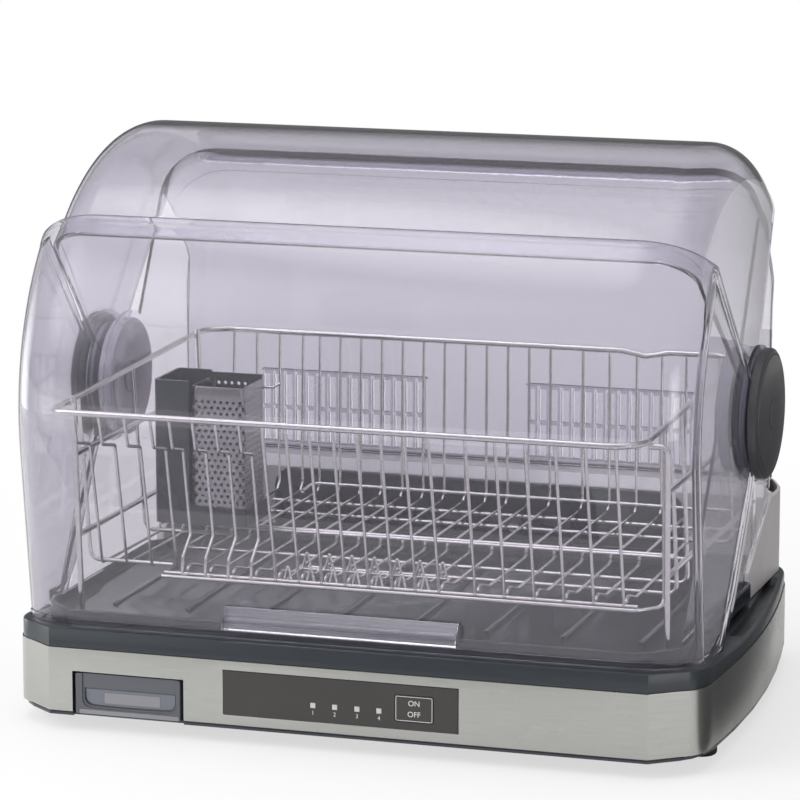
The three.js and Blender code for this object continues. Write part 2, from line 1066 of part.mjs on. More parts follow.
function buildDrainTray() {
  const x0 = drain.leftX + drain.sideGap;
  const x1 = drain.rightX - drain.sideGap;
  const y0 = base.frontY - drain.proud;
  const top = drain.openingTop - drain.topGap;
  const y1 = drain.backY - runningGap;
  const shell = block(x0, x1, y0, y1, drain.bottom, top);
  const hollow = block(
    x0 + drain.wall,
    x1 - drain.wall,
    y0 + drain.faceWall,
    y1 - drain.wall,
    drain.bottom + drain.wall,
    top + overrun,
  );
  const grip = block(
    x0 + drain.gripMargin,
    x1 - drain.gripMargin,
    y0 - overrun,
    y0 + drain.gripDepth,
    drain.gripBottom,
    drain.gripTop,
  );
  add('drain_tray', cut(shell, hollow, grip), finishes.smoke);
}

// Control panel.

function buildPanel() {
  const y0 = base.frontY - panel.proud;
  const y1 = y0 + panel.thickness;
  let body = block(panel.leftX, panel.rightX, y0, y1, panel.bottom, panel.top);
  const half = panel.lampSize / 2;
  panel.lampX.forEach((x) => {
    body = body.subtract(block(
      x - half - seatGap,
      x + half + seatGap,
      y0 - overrun,
      y1 + overrun,
      panel.lampZ - half - seatGap,
      panel.lampZ + half + seatGap,
    ));
  });
  body = body.subtract(block(
    panel.buttonLeft - seatGap,
    panel.buttonRight + seatGap,
    y0 - overrun,
    y1 + overrun,
    panel.buttonBottom - seatGap,
    panel.buttonTop + seatGap,
  ));
  const middleZ = (panel.bottom + panel.top) / 2;
  for (const x of [-panel.postX, panel.postX]) {
    const start = [x, y1 - panel.thickness / 2, middleZ];
    const post = rod('y', panel.postRadius, panel.postSides, start, panel.thickness / 2 + panel.postLength);
    body = body.add(post);
  }
  add('control_panel', body, finishes.panel);

  panel.lampX.forEach((x, i) => {
    const lamp = block(
      x - half,
      x + half,
      y0,
      y0 + panel.lampLength,
      panel.lampZ - half,
      panel.lampZ + half,
    );
    add(`lamp_lens_${i + 1}`, lamp, finishes.lamp);
  });

  const buttonFront = y0 - panel.buttonProud;
  const buttonBack = y0 + panel.buttonDepth;
  const button = block(
    panel.buttonLeft,
    panel.buttonRight,
    buttonFront,
    buttonBack,
    panel.buttonBottom,
    panel.buttonTop,
  );
  add('power_button', button, finishes.panel);

  const boardFront = y1 + panel.postLength + seatGap;
  const board = block(
    panel.leftX + panel.boardMarginX,
    panel.rightX - panel.boardMarginX,
    boardFront,
    boardFront + panel.boardWall,
    panel.bottom + panel.boardMarginZ,
    panel.top - panel.boardMarginZ,
  );
  add('control_board', board, finishes.board);

  const switchX = (panel.buttonLeft + panel.buttonRight) / 2;
  const switchZ = (panel.buttonBottom + panel.buttonTop) / 2;
  const stemEnd = buttonBack + panel.buttonTravel + seatGap;
  const switchBack = boardFront - seatGap;
  const bodyFront = (stemEnd + switchBack) / 2;
  const switchHalf = panel.switchSize / 2;
  const housingBlock = block(
    switchX - switchHalf,
    switchX + switchHalf,
    bodyFront,
    switchBack,
    switchZ - switchHalf,
    switchZ + switchHalf,
  );
  const stem = rod('y', panel.stemRadius, panel.postSides, [switchX, stemEnd, switchZ], switchBack - stemEnd);
  add('button_switch', join(housingBlock, stem), finishes.black);
}

function buildPowerBoard() {
  const top = powerBoard.bottom + powerBoard.wall;
  const board = block(
    powerBoard.leftX,
    powerBoard.rightX,
    powerBoard.frontY,
    powerBoard.backY,
    powerBoard.bottom,
    top,
  );
  add('power_board', board, finishes.board);
  const relay = block(
    powerBoard.relayX,
    powerBoard.relayX + powerBoard.relayWidth,
    powerBoard.relayY,
    powerBoard.relayY + powerBoard.relayDepth,
    top + seatGap,
    top + seatGap + powerBoard.relayHeight,
  );
  add('relay', relay, finishes.black);
}

// Rear housing, its gasket and the dark duct panel.

function housingPlan(outset) {
  const x = housing.halfWidth - outset;
  const front = housing.frontY + outset;
  const back = housing.backY - outset;
  const radius = housing.cornerRadius - outset;
  const right = [
    [x, front],
    ...arc([x - radius, back - radius], radius, 0, rightAngle, housing.cornerSteps),
  ];
  const left = right.map(([px, py]) => [-px, py]).reverse();
  return [...right, ...left];
}

function shoulderCut() {
  const edge = [
    [housing.shoulderX, housing.top],
    [housing.halfWidth + overrun, housing.top - housing.shoulderDrop * (1 + overrun / housing.cornerRadius)],
    [housing.halfWidth + overrun, housing.top + overrun],
    [housing.shoulderX, housing.top + overrun],
  ];
  return endways(edge, 0, base.backY + overrun);
}

function buildHousing() {
  const outer = plate(housingPlan(0), housing.bottom, housing.top);
  const inner = plate(housingPlan(housing.wall), housing.bottom - overrun, housing.top - housing.wall);
  const arms = sideways([
    [housing.armFrontY, housing.bottom],
    [housing.frontY + housing.wall, housing.bottom],
    [housing.frontY + housing.wall, housing.top],
    [housing.frontY, housing.top],
    [housing.armFrontY, housing.armFrontTop],
  ], housing.halfWidth - housing.armWidth, housing.halfWidth);
  let body = join(outer.subtract(inner), arms, mirroredX(arms));
  body = cut(body, shoulderCut(), mirroredX(shoulderCut()));
  body = body.subtract(block(
    -housing.windowX,
    housing.windowX,
    housing.frontY - overrun,
    housing.frontY + housing.wall + seatGap,
    housing.windowBottom,
    housing.windowTop,
  ));
  for (let i = 0; i < housing.slotCount; i += 1) {
    const x = fan.x + (i - (housing.slotCount - 1) / 2) * housing.slotPitch;
    body = body.subtract(block(
      x - housing.slotWidth / 2,
      x + housing.slotWidth / 2,
      housing.backY - housing.wall - seatGap,
      housing.backY + overrun,
      housing.slotBottom,
      housing.slotTop,
    ));
  }
  const railBottom = filter.bottom - seatGap - filter.wall;
  for (const side of [-1, 1]) {
    const inside = fan.x + side * (filter.width / 2 + runningGap);
    const outside = inside + side * housing.railWidth;
    const lipEnd = inside - side * (filter.frame / 2);
    const [x0, x1] = [Math.min(inside, outside), Math.max(inside, outside)];
    const [l0, l1] = [Math.min(lipEnd, outside), Math.max(lipEnd, outside)];
    const railBack = housing.backY + housing.railDepth;
    body = join(
      body,
      block(x0, x1, housing.backY - housing.wall / 2, railBack, railBottom, filter.top),
      block(l0, l1, railBack - housing.railLip, railBack, railBottom, filter.top),
    );
  }
  const sill = block(
    fan.x - filter.width / 2 - runningGap - housing.railWidth,
    fan.x + filter.width / 2 + runningGap + housing.railWidth,
    housing.backY - housing.wall / 2,
    housing.backY + housing.railDepth,
    railBottom,
    railBottom + filter.wall,
  );
  body = body.add(sill);
  const cordHole = rod(
    'y',
    inlet.neckRadius + seatGap,
    inlet.sides,
    [inlet.x, housing.backY - housing.wall - overrun, inlet.z],
    overrun + overrun,
  );
  add('rear_housing', body.subtract(cordHole), finishes.greyShell);
}

function buildGasket() {
  const bottom = housing.top + seatGap;
  const strip = block(
    -gasket.halfWidth + gasket.height,
    gasket.halfWidth - gasket.height,
    gasket.frontY,
    gasket.backY,
    bottom,
    bottom + gasket.height,
  );
  const narrowed = block(
    -housing.shoulderX,
    housing.shoulderX,
    gasket.frontY - overrun,
    gasket.backY + overrun,
    0,
    housing.top + overrun,
  );
  add('housing_gasket', strip.intersect(narrowed), finishes.rubber);
}

function buildDuctPanel() {
  const y1 = housing.frontY - seatGap;
  const y0 = y1 - ductPanel.wall;
  const { halfWidth, top, cornerRadius: radius, cornerSteps } = ductPanel;
  const right = arc([halfWidth - radius, top - radius], radius, 0, rightAngle, cornerSteps);
  const left = right.map(([x, z]) => [-x, z]).reverse();
  const shape = [[halfWidth, ductPanel.bottom], ...right, ...left, [-halfWidth, ductPanel.bottom]];
  let body = endways(shape, y0, y1);
  for (let i = 0; i < ductPanel.slotCount; i += 1) {
    const x = (i - (ductPanel.slotCount - 1) / 2) * ductPanel.slotPitch;
    body = body.subtract(block(
      x - ductPanel.slotLength / 2,
      x + ductPanel.slotLength / 2,
      y0 - overrun,
      y1 + overrun,
      ductPanel.slotBottom,
      ductPanel.slotBottom + ductPanel.slotHeight,
    ));
  }
  add('duct_panel', body, finishes.slate);
}

// Blower and heater, in the housing.

function scrollSolid(gap, y0, y1) {
  const radius = fan.scrollRadius - gap;
  const length = y1 - y0;
  const round = rod('y', radius, fan.scrollSides, [fan.x, y0, fan.z], length);
  const mouth = block(
    fan.outletX,
    fan.x,
    y0,
    y1,
    fan.z - radius,
    fan.outletTop - gap,
  );
  return join(round, mouth);
}

function buildFan() {
  const wall = fan.scrollWall;
  const casing = scrollSolid(0, fan.scrollFrontY, fan.scrollBackY);
  const inside = scrollSolid(wall, fan.scrollFrontY + wall, fan.scrollBackY - wall);
  const mouth = block(
    fan.outletX - overrun,
    fan.outletX + wall,
    fan.scrollFrontY + wall,
    fan.scrollBackY - wall,
    fan.z - fan.scrollRadius + wall,
    fan.outletTop - wall,
  );
  const eye = rod(
    'y',
    fan.inletRadius,
    fan.scrollSides,
    [fan.x, fan.scrollBackY - wall - seatGap, fan.z],
    overrun,
  );
  add('fan_scroll', cut(casing, inside, mouth, eye), finishes.black);

  const motorFront = fan.scrollFrontY + wall + seatGap;
  const motor = join(
    rod('y', fan.motorRadius, fan.wheelSides, [fan.x, motorFront, fan.z], fan.motorBackY - motorFront),
    rod('y', fan.shaftRadius, panel.postSides, [fan.x, motorFront, fan.z], fan.shaftEndY - motorFront),
  );
  add('fan_motor', motor, finishes.steel);

  const discEnd = fan.wheelFrontY + fan.wheelDisc;
  const length = fan.wheelBackY - fan.wheelFrontY;
  const centre = [fan.x, fan.wheelFrontY, fan.z];
  const disc = rod('y', fan.wheelRadius, fan.wheelSides, centre, fan.wheelDisc);
  const nave = rod('y', fan.wheelHub, panel.postSides, centre, length / 2);
  const rim = turned('y', [
    [fan.wheelInner, length - fan.wheelDisc],
    [fan.wheelRadius, length - fan.wheelDisc],
    [fan.wheelRadius, length],
    [fan.wheelInner, length],
  ], fan.wheelSides, centre);
  let wheel = join(disc, nave, rim);
  for (let i = 0; i < fan.bladeCount; i += 1) {
    const bladeShape = new THREE.BoxGeometry(
      fan.wheelRadius - fan.wheelInner - fan.bladeWall,
      fan.wheelBackY - discEnd,
      fan.bladeWall,
    );
    bladeShape.translate((fan.wheelRadius + fan.wheelInner) / 2, (discEnd + fan.wheelBackY) / 2, 0);
    bladeShape.rotateY((fullTurn * i) / fan.bladeCount);
    bladeShape.translate(fan.x, 0, fan.z);
    wheel = wheel.add(solid(bladeShape));
  }
  const shaftHole = rod(
    'y',
    fan.shaftRadius + seatGap,
    panel.postSides,
    [fan.x, fan.wheelFrontY - overrun, fan.z],
    fan.wheelBackY - fan.wheelFrontY + overrun,
  );
  add('fan_wheel', wheel.subtract(shaftHole), finishes.whitePlastic);
}

function buildHeater() {
  const ductRight = fan.outletX - seatGap;
  const ductBottom = fan.z - fan.scrollRadius;
  const ductTop = fan.outletTop;
  const y0 = fan.scrollFrontY;
  const y1 = fan.scrollBackY;
  const wall = heater.ductWall;
  const duct = cut(
    block(heater.ductLeftX, ductRight, y0, y1, ductBottom, ductTop),
    block(
      heater.ductLeftX - overrun,
      ductRight + overrun,
      y0 + wall,
      y1 - wall,
      ductBottom + wall,
      ductTop - wall,
    ),
  );
  add('heater_duct', duct, finishes.steel);

  const gap = wall + seatGap;
  const coreFront = y0 + gap;
  const coreBack = y1 - gap;
  const coreBottom = ductBottom + gap;
  const coreTop = ductTop - gap;
  let core = cut(
    block(heater.coreLeftX, heater.coreRightX, coreFront, coreBack, coreBottom, coreTop),
    block(
      heater.coreLeftX - overrun,
      heater.coreRightX + overrun,
      coreFront + heater.coreFrame,
      coreBack - heater.coreFrame,
      coreBottom + heater.coreFrame,
      coreTop - heater.coreFrame,
    ),
  );
  const span = coreTop - coreBottom - 2 * heater.coreFrame;
  for (let i = 1; i <= heater.finCount; i += 1) {
    const z = coreBottom + heater.coreFrame + (span * i) / (heater.finCount + 1);
    core = core.add(block(
      heater.coreLeftX + heater.finSetback,
      heater.coreRightX - heater.finSetback,
      coreFront + heater.coreFrame / 2,
      coreBack - heater.coreFrame / 2,
      z - heater.finWall / 2,
      z + heater.finWall / 2,
    ));
  }
  add('heater_core', core, finishes.steel);

  const start = [heater.thermostatX, (y0 + y1) / 2, ductTop + seatGap];
  const thermostat = rod('z', heater.thermostatRadius, panel.postSides, start, heater.thermostatHeight);
  add('thermostat', thermostat, finishes.black);
}

function buildFilter() {
  const x0 = fan.x - filter.width / 2;
  const x1 = fan.x + filter.width / 2;
  const y0 = housing.backY + seatGap;
  const y1 = y0 + filter.wall;
  let body = cut(
    block(x0, x1, y0, y1, filter.bottom, filter.top),
    block(
      x0 + filter.frame,
      x1 - filter.frame,
      y0 - overrun,
      y1 + overrun,
      filter.bottom + filter.frame,
      filter.top - filter.frame,
    ),
  );
  for (let i = 1; i <= filter.barCount; i += 1) {
    const x = x0 + (filter.width * i) / (filter.barCount + 1);
    body = body.add(block(
      x - filter.barWall / 2,
      x + filter.barWall / 2,
      y0,
      y1,
      filter.bottom + filter.frame / 2,
      filter.top - filter.frame / 2,
    ));
  }
  const tab = block(
    fan.x - filter.tabWidth / 2,
    fan.x + filter.tabWidth / 2,
    y0,
    y1,
    filter.top - filter.frame / 2,
    filter.top + filter.tabHeight,
  );
  add('air_filter', body.add(tab), finishes.slate);
}

function buildInlet() {
  const insideY = housing.backY - housing.wall - seatGap;
  const flange = seatGap + housing.wall;
  const profile = [
    [inlet.boreRadius, 0],
    [inlet.neckRadius, 0],
    [inlet.neckRadius, flange + seatGap],
    [inlet.flangeRadius, flange + seatGap],
    [inlet.tipRadius, flange + inlet.length],
    [inlet.boreRadius, flange + inlet.length],
  ];
  add('cord_inlet', turned('y', profile, inlet.sides, [inlet.x, insideY, inlet.z]), finishes.black);
}

// The three clear shells.

function frontLidHalf() {
  return [
    [frontLid.hubX, hub.boreRadius],
    [frontLid.hubX, hub.ringRadius],
    [frontLid.creaseX, frontLid.crownRadius - frontLid.creaseDrop],
    [frontLid.midX, frontLid.crownRadius - frontLid.midDrop],
    [frontLid.shoulderX, frontLid.crownRadius - frontLid.shoulderDrop],
    [frontLid.crownEaseX, frontLid.crownRadius - frontLid.crownEaseDrop],
    [frontLid.crownEaseX - (frontLid.shoulderX - frontLid.crownEaseX), frontLid.crownRadius],
  ];
}

function cornerHalf(lid, hubX, innerRadius) {
  const sideX = lid.cornerX + lid.cornerRadius;
  const centre = [lid.cornerX, lid.crownRadius - lid.cornerRadius];
  return [
    [hubX, innerRadius],
    ...(hubX === sideX ? [] : [[hubX, hub.ringRadius]]),
    ...arc(centre, lid.cornerRadius, 0, rightAngle, lid.cornerSteps),
  ];
}

function stepsBetween(from, to, steps) {
  return Array.from({ length: steps + 1 }, (_, i) => roundPivot(from + ((to - from) * i) / steps));
}

function ringCircle(radius) {
  return arc([hub.y, hub.z], radius, 0, fullTurn, hub.ringSteps).slice(0, -1);
}

function lidClip(points, radius) {
  const far = base.widestX + overrun;
  return join(sideways(points, -far, far), sideways(ringCircle(radius), -far, far));
}

function buildFrontLid() {
  const section = shellSection(frontLidHalf(), lidWall);
  const places = stepsBetween(frontLid.topAngle, frontLid.tangentAngle, frontLid.arcSteps);
  const lastPlace = roundPivot(frontLid.tangentAngle);
  const tangent = THREE.MathUtils.degToRad(frontLid.tangentAngle);
  places.push((x, radius) => {
    const [px, py, pz] = lastPlace(x, radius);
    return [px, py - frontLid.skirtRun * Math.cos(tangent), pz - frontLid.skirtRun * Math.sin(tangent)];
  });
  const shell = swept(section, places);
  const far = frontLid.crownRadius + overrun;
  const side = [
    pivotPoint(frontLid.topAngle, 0),
    pivotPoint(frontLid.topAngle, far + overrun),
    [-far, hub.z + far],
    [-far, frontLid.frontBottom],
    [trim.slopeStartY, frontLid.frontBottom],
    [frontLid.legBottomY, frontLid.sideBottom],
    [frontLid.legTopY, frontLid.legTopZ],
  ];
  const ringInner = frontLid.hubX - lidWall;
  const ringRight = hubRing(ringInner, frontLid.hubX, hub.ringRadius);
  const ringLeft = hubRing(-frontLid.hubX, -ringInner, hub.ringRadius);
  const bore = rod('x', hub.boreRadius, pivot.sides, [-far - far, hub.y, hub.z], 4 * far);
  const gripReach = frontLid.gripReachInset - frontLid.crownRadius;
  const gripLip = frontLid.gripLipInset - frontLid.crownRadius;
  const gripRoot = frontLid.gripRootInset - frontLid.crownRadius;
  const grip = sideways([
    [gripRoot, frontLid.gripTop],
    [gripLip, frontLid.gripTop],
    [gripReach, frontLid.gripKnee],
    [gripReach, frontLid.gripBottom],
    [gripRoot, frontLid.gripBottom],
  ], frontLid.gripLeftX, frontLid.gripRightX);
  const lid = join(shell.intersect(lidClip(side, hub.ringRadius)), ringRight, ringLeft, grip);
  add('front_lid', lid.subtract(bore), finishes.clear);
}

function buildTopLid() {
  const section = shellSection(cornerHalf(topLid, topLid.hubX, hub.boreRadius), lidWall);
  const shell = swept(section, stepsBetween(topLid.frontAngle, -topLid.rearAngle, topLid.arcSteps));
  const ringInner = topLid.hubX - lidWall;
  const ringRight = hubRing(ringInner, topLid.hubX, hub.ringRadius);
  const ringLeft = hubRing(-topLid.hubX, -ringInner, hub.ringRadius);
  add('top_lid', join(shell, ringRight, ringLeft), finishes.clear);
}

// The flat side ends where the corner starts to round.
function rearSideOutline() {
  const armLow = floorTray.stepY - floorTray.wall - rearCover.armGap;
  const armHigh = housing.armFrontTop + rearCover.armGap;
  const slopeEnd = housing.frontY - rearCover.armGap;
  const sideEnd = rearCover.backY - rearCover.cornerRadius;
  const share = (sideEnd - armLow) / (slopeEnd - armLow);
  const sideEndZ = armHigh + share * (rearCover.bottom - armHigh);
  const shoulder = rearCover.crownRadius - rearCover.cornerRadius;
  return [
    pivotPoint(-rearCover.topAngle, 0),
    [rearCover.frontY, hub.z],
    [rearCover.frontY, rearCover.slopeTopZ],
    [rearCover.reachY, rearCover.reachBottom],
    [rearCover.footFrontY, rearCover.reachBottom],
    [rearCover.footFrontY, rearCover.frontBottom],
    [armLow, rearCover.frontBottom],
    [armLow, armHigh],
    [sideEnd, sideEndZ],
    [sideEnd, hub.z],
    pivotPoint(-rearCover.topAngle, shoulder - overrun),
  ];
}

function buildRearCover() {
  const sideOuter = rearCover.cornerX + rearCover.cornerRadius;
  const section = shellSection(
    cornerHalf(rearCover, sideOuter, rearCover.sideInnerRadius),
    lidWall,
  );
  const backAngle = THREE.MathUtils.radToDeg(Math.asin(rearCover.backY / rearCover.crownRadius));
  const places = stepsBetween(-rearCover.topAngle, -backAngle, rearCover.arcSteps);
  const upright = (z) => (x, radius) => [x, rearCover.backY - rearCover.crownRadius + radius, z];
  places.push(upright(hub.z), upright(rearCover.bottom));
  let shell = swept(section, places);
  const side = sideways(rearSideOutline(), sideOuter - lidWall, sideOuter);
  const ring = sideways(ringCircle(hub.ringRadius), sideOuter - lidWall, sideOuter);
  const right = join(side, ring);
  shell = join(shell, right, mirroredX(right));
  const far = base.widestX + overrun;
  shell = shell.subtract(rod('x', rearCover.spigotRadius, pivot.sides, [-far, hub.y, hub.z], 2 * far));
  const ventWidth = (rearCover.ventRightX - rearCover.ventLeftX - rearCover.ventGap) / 2;
  const pitch = ventWidth / rearCover.ventCount;
  const slot = pitch * rearCover.ventShare;
  for (const start of [rearCover.ventLeftX, rearCover.ventRightX - ventWidth]) {
    for (let i = 0; i < rearCover.ventCount; i += 1) {
      const x = start + pitch * i + (pitch - slot) / 2;
      const rows = [
        [rearCover.ventBottom, rearCover.ventBar - rearCover.ventBarHeight / 2],
        [rearCover.ventBar + rearCover.ventBarHeight / 2, rearCover.ventTop],
      ];
      rows.forEach(([z0, z1]) => {
        shell = shell.subtract(block(
          x,
          x + slot,
          rearCover.backY - lidWall - overrun,
          rearCover.backY + overrun,
          z0,
          z1,
        ));
      });
    }
  }
  add('rear_cover', shell, finishes.clear);
}

// Pivot stack, built on the right and mirrored to the left.

function turnedAtHub(profile, startX) {
  return turned('x', profile, pivot.sides, [startX, hub.y, hub.z]);
}

function buildPivots() {
  const wallInner = rearCover.cornerX + rearCover.cornerRadius - lidWall;
  const wallOuter = wallInner + lidWall;
  const discBack = wallInner - seatGap - pivot.discInnerX;
  const disc = turnedAtHub([
    [0, pivot.discStepX - pivot.discInnerX],
    [pivot.discSpigotRadius, pivot.discStepX - pivot.discInnerX],
    [pivot.discRimRadius, pivot.discStepX - pivot.discInnerX],
    [pivot.discRimRadius, 0],
    [pivot.discRadius, 0],
    [pivot.discRadius, discBack],
    [pivot.discSpigotRadius, discBack],
    [pivot.discSpigotRadius, pivot.discSpigotEnd - pivot.discInnerX],
    [0, pivot.discSpigotEnd - pivot.discInnerX],
  ], pivot.discInnerX);

  const bossStart = wallOuter + seatGap;
  const boss = turnedAtHub([
    [pivot.bossBore, 0],
    [pivot.bossFlangeRadius, 0],
    [pivot.bossFlangeRadius, pivot.bossFlangeWall],
    [hub.bossRadius, pivot.bossFlangeWall],
    [hub.bossRadius, pivot.bossEndX - bossStart],
    [pivot.bossBore, pivot.bossEndX - bossStart],
  ], bossStart);

  const ringStart = topLid.hubX + runningGap;
  const ringEnd = frontLid.hubX - lidWall - runningGap;
  const ringBore = hub.bossRadius + seatGap;
  let ring = turnedAtHub([
    [ringBore, 0],
    [pivot.ringRadius, 0],
    [pivot.ringRadius, ringEnd - ringStart],
    [ringBore, ringEnd - ringStart],
  ], ringStart);
  const notchHalf = pivot.ringNotchWidth / 2;
  for (const side of [-1, 1]) {
    const near = hub.z + side * (pivot.ringRadius - pivot.ringNotch);
    const away = hub.z + side * (pivot.ringRadius + overrun);
    ring = ring.subtract(block(
      ringStart - overrun,
      ringEnd + overrun,
      hub.y - notchHalf,
      hub.y + notchHalf,
      Math.min(near, away),
      Math.max(near, away),
    ));
  }

  const plugSeat = pivot.capOuterX - pivot.plugWall - seatGap;
  const cap = turnedAtHub([
    [0, 0],
    [pivot.capStubRadius, 0],
    [pivot.capStubRadius, pivot.capInnerX - pivot.capStubEnd],
    [pivot.capRadius, pivot.capInnerX - pivot.capStubEnd],
    [pivot.capRadius, pivot.capEaseX - pivot.capStubEnd],
    [pivot.capEaseRadius, pivot.capOuterX - pivot.capStubEnd],
    [pivot.plugRadius + seatGap, pivot.capOuterX - pivot.capStubEnd],
    [pivot.plugRadius + seatGap, plugSeat - pivot.capStubEnd],
    [0, plugSeat - pivot.capStubEnd],
  ], pivot.capStubEnd);
  const plugLength = pivot.plugWall + pivot.plugProud;
  const plug = rod('x', pivot.plugRadius, pivot.sides, [plugSeat + seatGap, hub.y, hub.z], plugLength);

  const pieces = {
    inner_disc: [disc, finishes.clear],
    pivot_boss: [boss, finishes.trim],
    detent_ring: [ring, finishes.smoke],
    hub_cap: [cap, finishes.cap],
    cap_plug: [plug, finishes.cap],
  };
  Object.entries(pieces).forEach(([name, [piece, finish]]) => {
    add(`right_${name}`, piece, finish);
    add(`left_${name}`, mirroredX(piece), finish);
  });
}

// Wire basket.

function rimZ(y) {
  const share = (y - basket.frontY) / (basket.backY - basket.frontY);
  return basket.frontZ + share * (basket.backZ - basket.frontZ);
}

function rimPath() {
  const { leftX, rightX, frontY, backY, cornerRadius: radius, cornerSteps: steps } = basket;
  const corners = [
    ...arc([rightX - radius, frontY + radius], radius, -rightAngle, 0, steps),
    ...arc([rightX - radius, backY - radius], radius, 0, rightAngle, steps),
    ...arc([leftX + radius, backY - radius], radius, rightAngle, 2 * rightAngle, steps),
    ...arc([leftX + radius, frontY + radius], radius, 2 * rightAngle, 3 * rightAngle, steps),
  ];
  return corners.map(([x, y]) => [x, y, rimZ(y)]);
}

function longWires() {
  const places = [];
  for (let i = 0; i < basket.leftCount; i += 1) {
    places.push({ x: basket.leftFirstX + i * basket.leftPitch, jog: true });
  }
  for (let i = 0; i < basket.middleCount; i += 1) {
    places.push({ x: basket.middleFirstX + i * basket.middlePitch, jog: false });
  }
  for (let i = 0; i < basket.rightCount; i += 1) {
    places.push({ x: basket.rightFirstX + i * basket.rightPitch, jog: false });
  }
  return places;
}

function longWirePath({ x, jog }) {
  const front = jog
    ? [
      [basket.frontY, basket.frontZ],
      [basket.frontY + basket.jogTopInset, basket.jogTopZ],
      [basket.frontY + basket.jogEndInset, basket.jogEndZ],
      [basket.frontY + basket.jogFootInset, basket.jogFootZ],
    ]
    : [
      [basket.frontY, basket.frontZ],
      [basket.frontY + basket.bendInset, basket.bendZ],
      [basket.frontY + basket.footInset, basket.footZ],
    ];
  const footY = basket.frontY + (jog ? basket.jogFootInset : basket.footInset);
  const rest = [
    [footY + basket.sideInset, basket.dropZ],
    [basket.ridgeY, basket.dropZ],
    [basket.ridgeY, basket.ridgeZ],
    [basket.backY - basket.rearBottomInset, basket.rearBottomZ],
    [basket.backY - basket.rearFootInset, basket.rearFootZ],
    [basket.backY, basket.backZ],
  ];
  return [...front, ...rest].map(([y, z]) => [x, y, z]);
}

function crossWirePath({ y, z, rises, endX }) {
  const left = basket.leftX + basket.sideInset;
  const right = basket.rightX - basket.sideInset;
  if (!rises) {
    return [[left, y, z], [right, y, z]];
  }
  if (endX !== undefined) {
    return [[basket.leftX, y, rimZ(y)], [left, y, z], [endX, y, z]];
  }
  return [
    [basket.leftX, y, rimZ(y)],
    [left, y, z],
    [right, y, z],
    [basket.rightX, y, rimZ(y)],
  ];
}

function buildBasket() {
  let body = wire(rimPath(), basket.rimWire, basket.rimSides, true);
  crossWires.forEach((place) => {
    body = body.add(wire(crossWirePath(place), basket.railWire, basket.wireSides));
  });
  longWires().forEach((place) => {
    body = body.add(wire(longWirePath(place), basket.wire, basket.wireSides));
  });
  const far = base.widestX + overrun;
  const { floorSplitZ: floorTop, middleY } = basket;
  const left = basket.leftX + basket.leftSplitInset;
  const right = basket.rightX - basket.rightSplitInset;
  const sections = {
    basket_floor: block(-far, far, -far, far, 0, floorTop),
    basket_left: block(-far, left, -far, far, floorTop, far),
    basket_right: block(right, far, -far, far, floorTop, far),
    basket_front: block(left, right, -far, middleY, floorTop, far),
    basket_back: block(left, right, middleY, far, floorTop, far),
  };
  Object.entries(sections).forEach(([name, room]) => {
    add(name, body.intersect(room), finishes.wire);
  });
}

// The left stand's rods end under the rim. The right stand is wider and hooks in under it.
function standRod(x, y) {
  const top = rimZ(y) - basket.rimWire - seatGap;
  const bottom = floorTray.floor + seatGap;
  if (x < 0) {
    return wire([[x, y, bottom], [x, y, top]], stand.wire, stand.sides);
  }
  const hookZ = top - stand.wire;
  return wire([[x, y, bottom], [x, y, hookZ], [basket.rightX, y, hookZ]], stand.wire, stand.sides);
}

function buildStands() {
  const places = { left_basket_stand: stand.leftX, right_basket_stand: stand.rightX };
  Object.entries(places).forEach(([name, x]) => {
    let body = join(standRod(x, stand.frontY), standRod(x, stand.backY));
    stand.railHeights.forEach((z) => {
      const rail = wire([[x, stand.frontY, z], [x, stand.backY, z]], stand.wire, stand.sides);
      body = body.add(rail);
    });
    add(name, body, finishes.wire);
  });
}

function buildProngs() {
  const flat = Math.cos(Math.PI / prongs.sides);
  const bottom = basket.dropZ + (basket.wire + prongs.wire) * flat + seatGap;
  const width = prongs.pitch * (prongs.rows[0].count - 1);
  const x0 = prongs.firstX - prongs.spread - prongs.tieInset;
  const x1 = prongs.firstX + width + prongs.spread + prongs.tieInset;
  const rail = (y) => wire([[x0, y, bottom], [x1, y, bottom]], prongs.wire, prongs.sides);
  const rows = prongs.rows.map(({ y, count, shift }) => {
    let row = rail(y);
    for (let i = 0; i < count; i += 1) {
      const x = prongs.firstX + shift + prongs.pitch * i;
      row = row.add(wire([
        [x - prongs.spread, y, bottom],
        [x, y, bottom + prongs.height],
        [x + prongs.spread, y, bottom],
      ], prongs.wire, prongs.sides));
    }
    return row;
  });
  const ties = [x0 + prongs.tieInset, x1 - prongs.tieInset].map((x) => wire(
    prongs.rows.map(({ y }) => [x, y, bottom]),
    prongs.wire,
    prongs.sides,
  ));
  add('plate_prongs', join(...rows, ...ties), finishes.wire);
}

// Cutlery holder and its perforated liner.

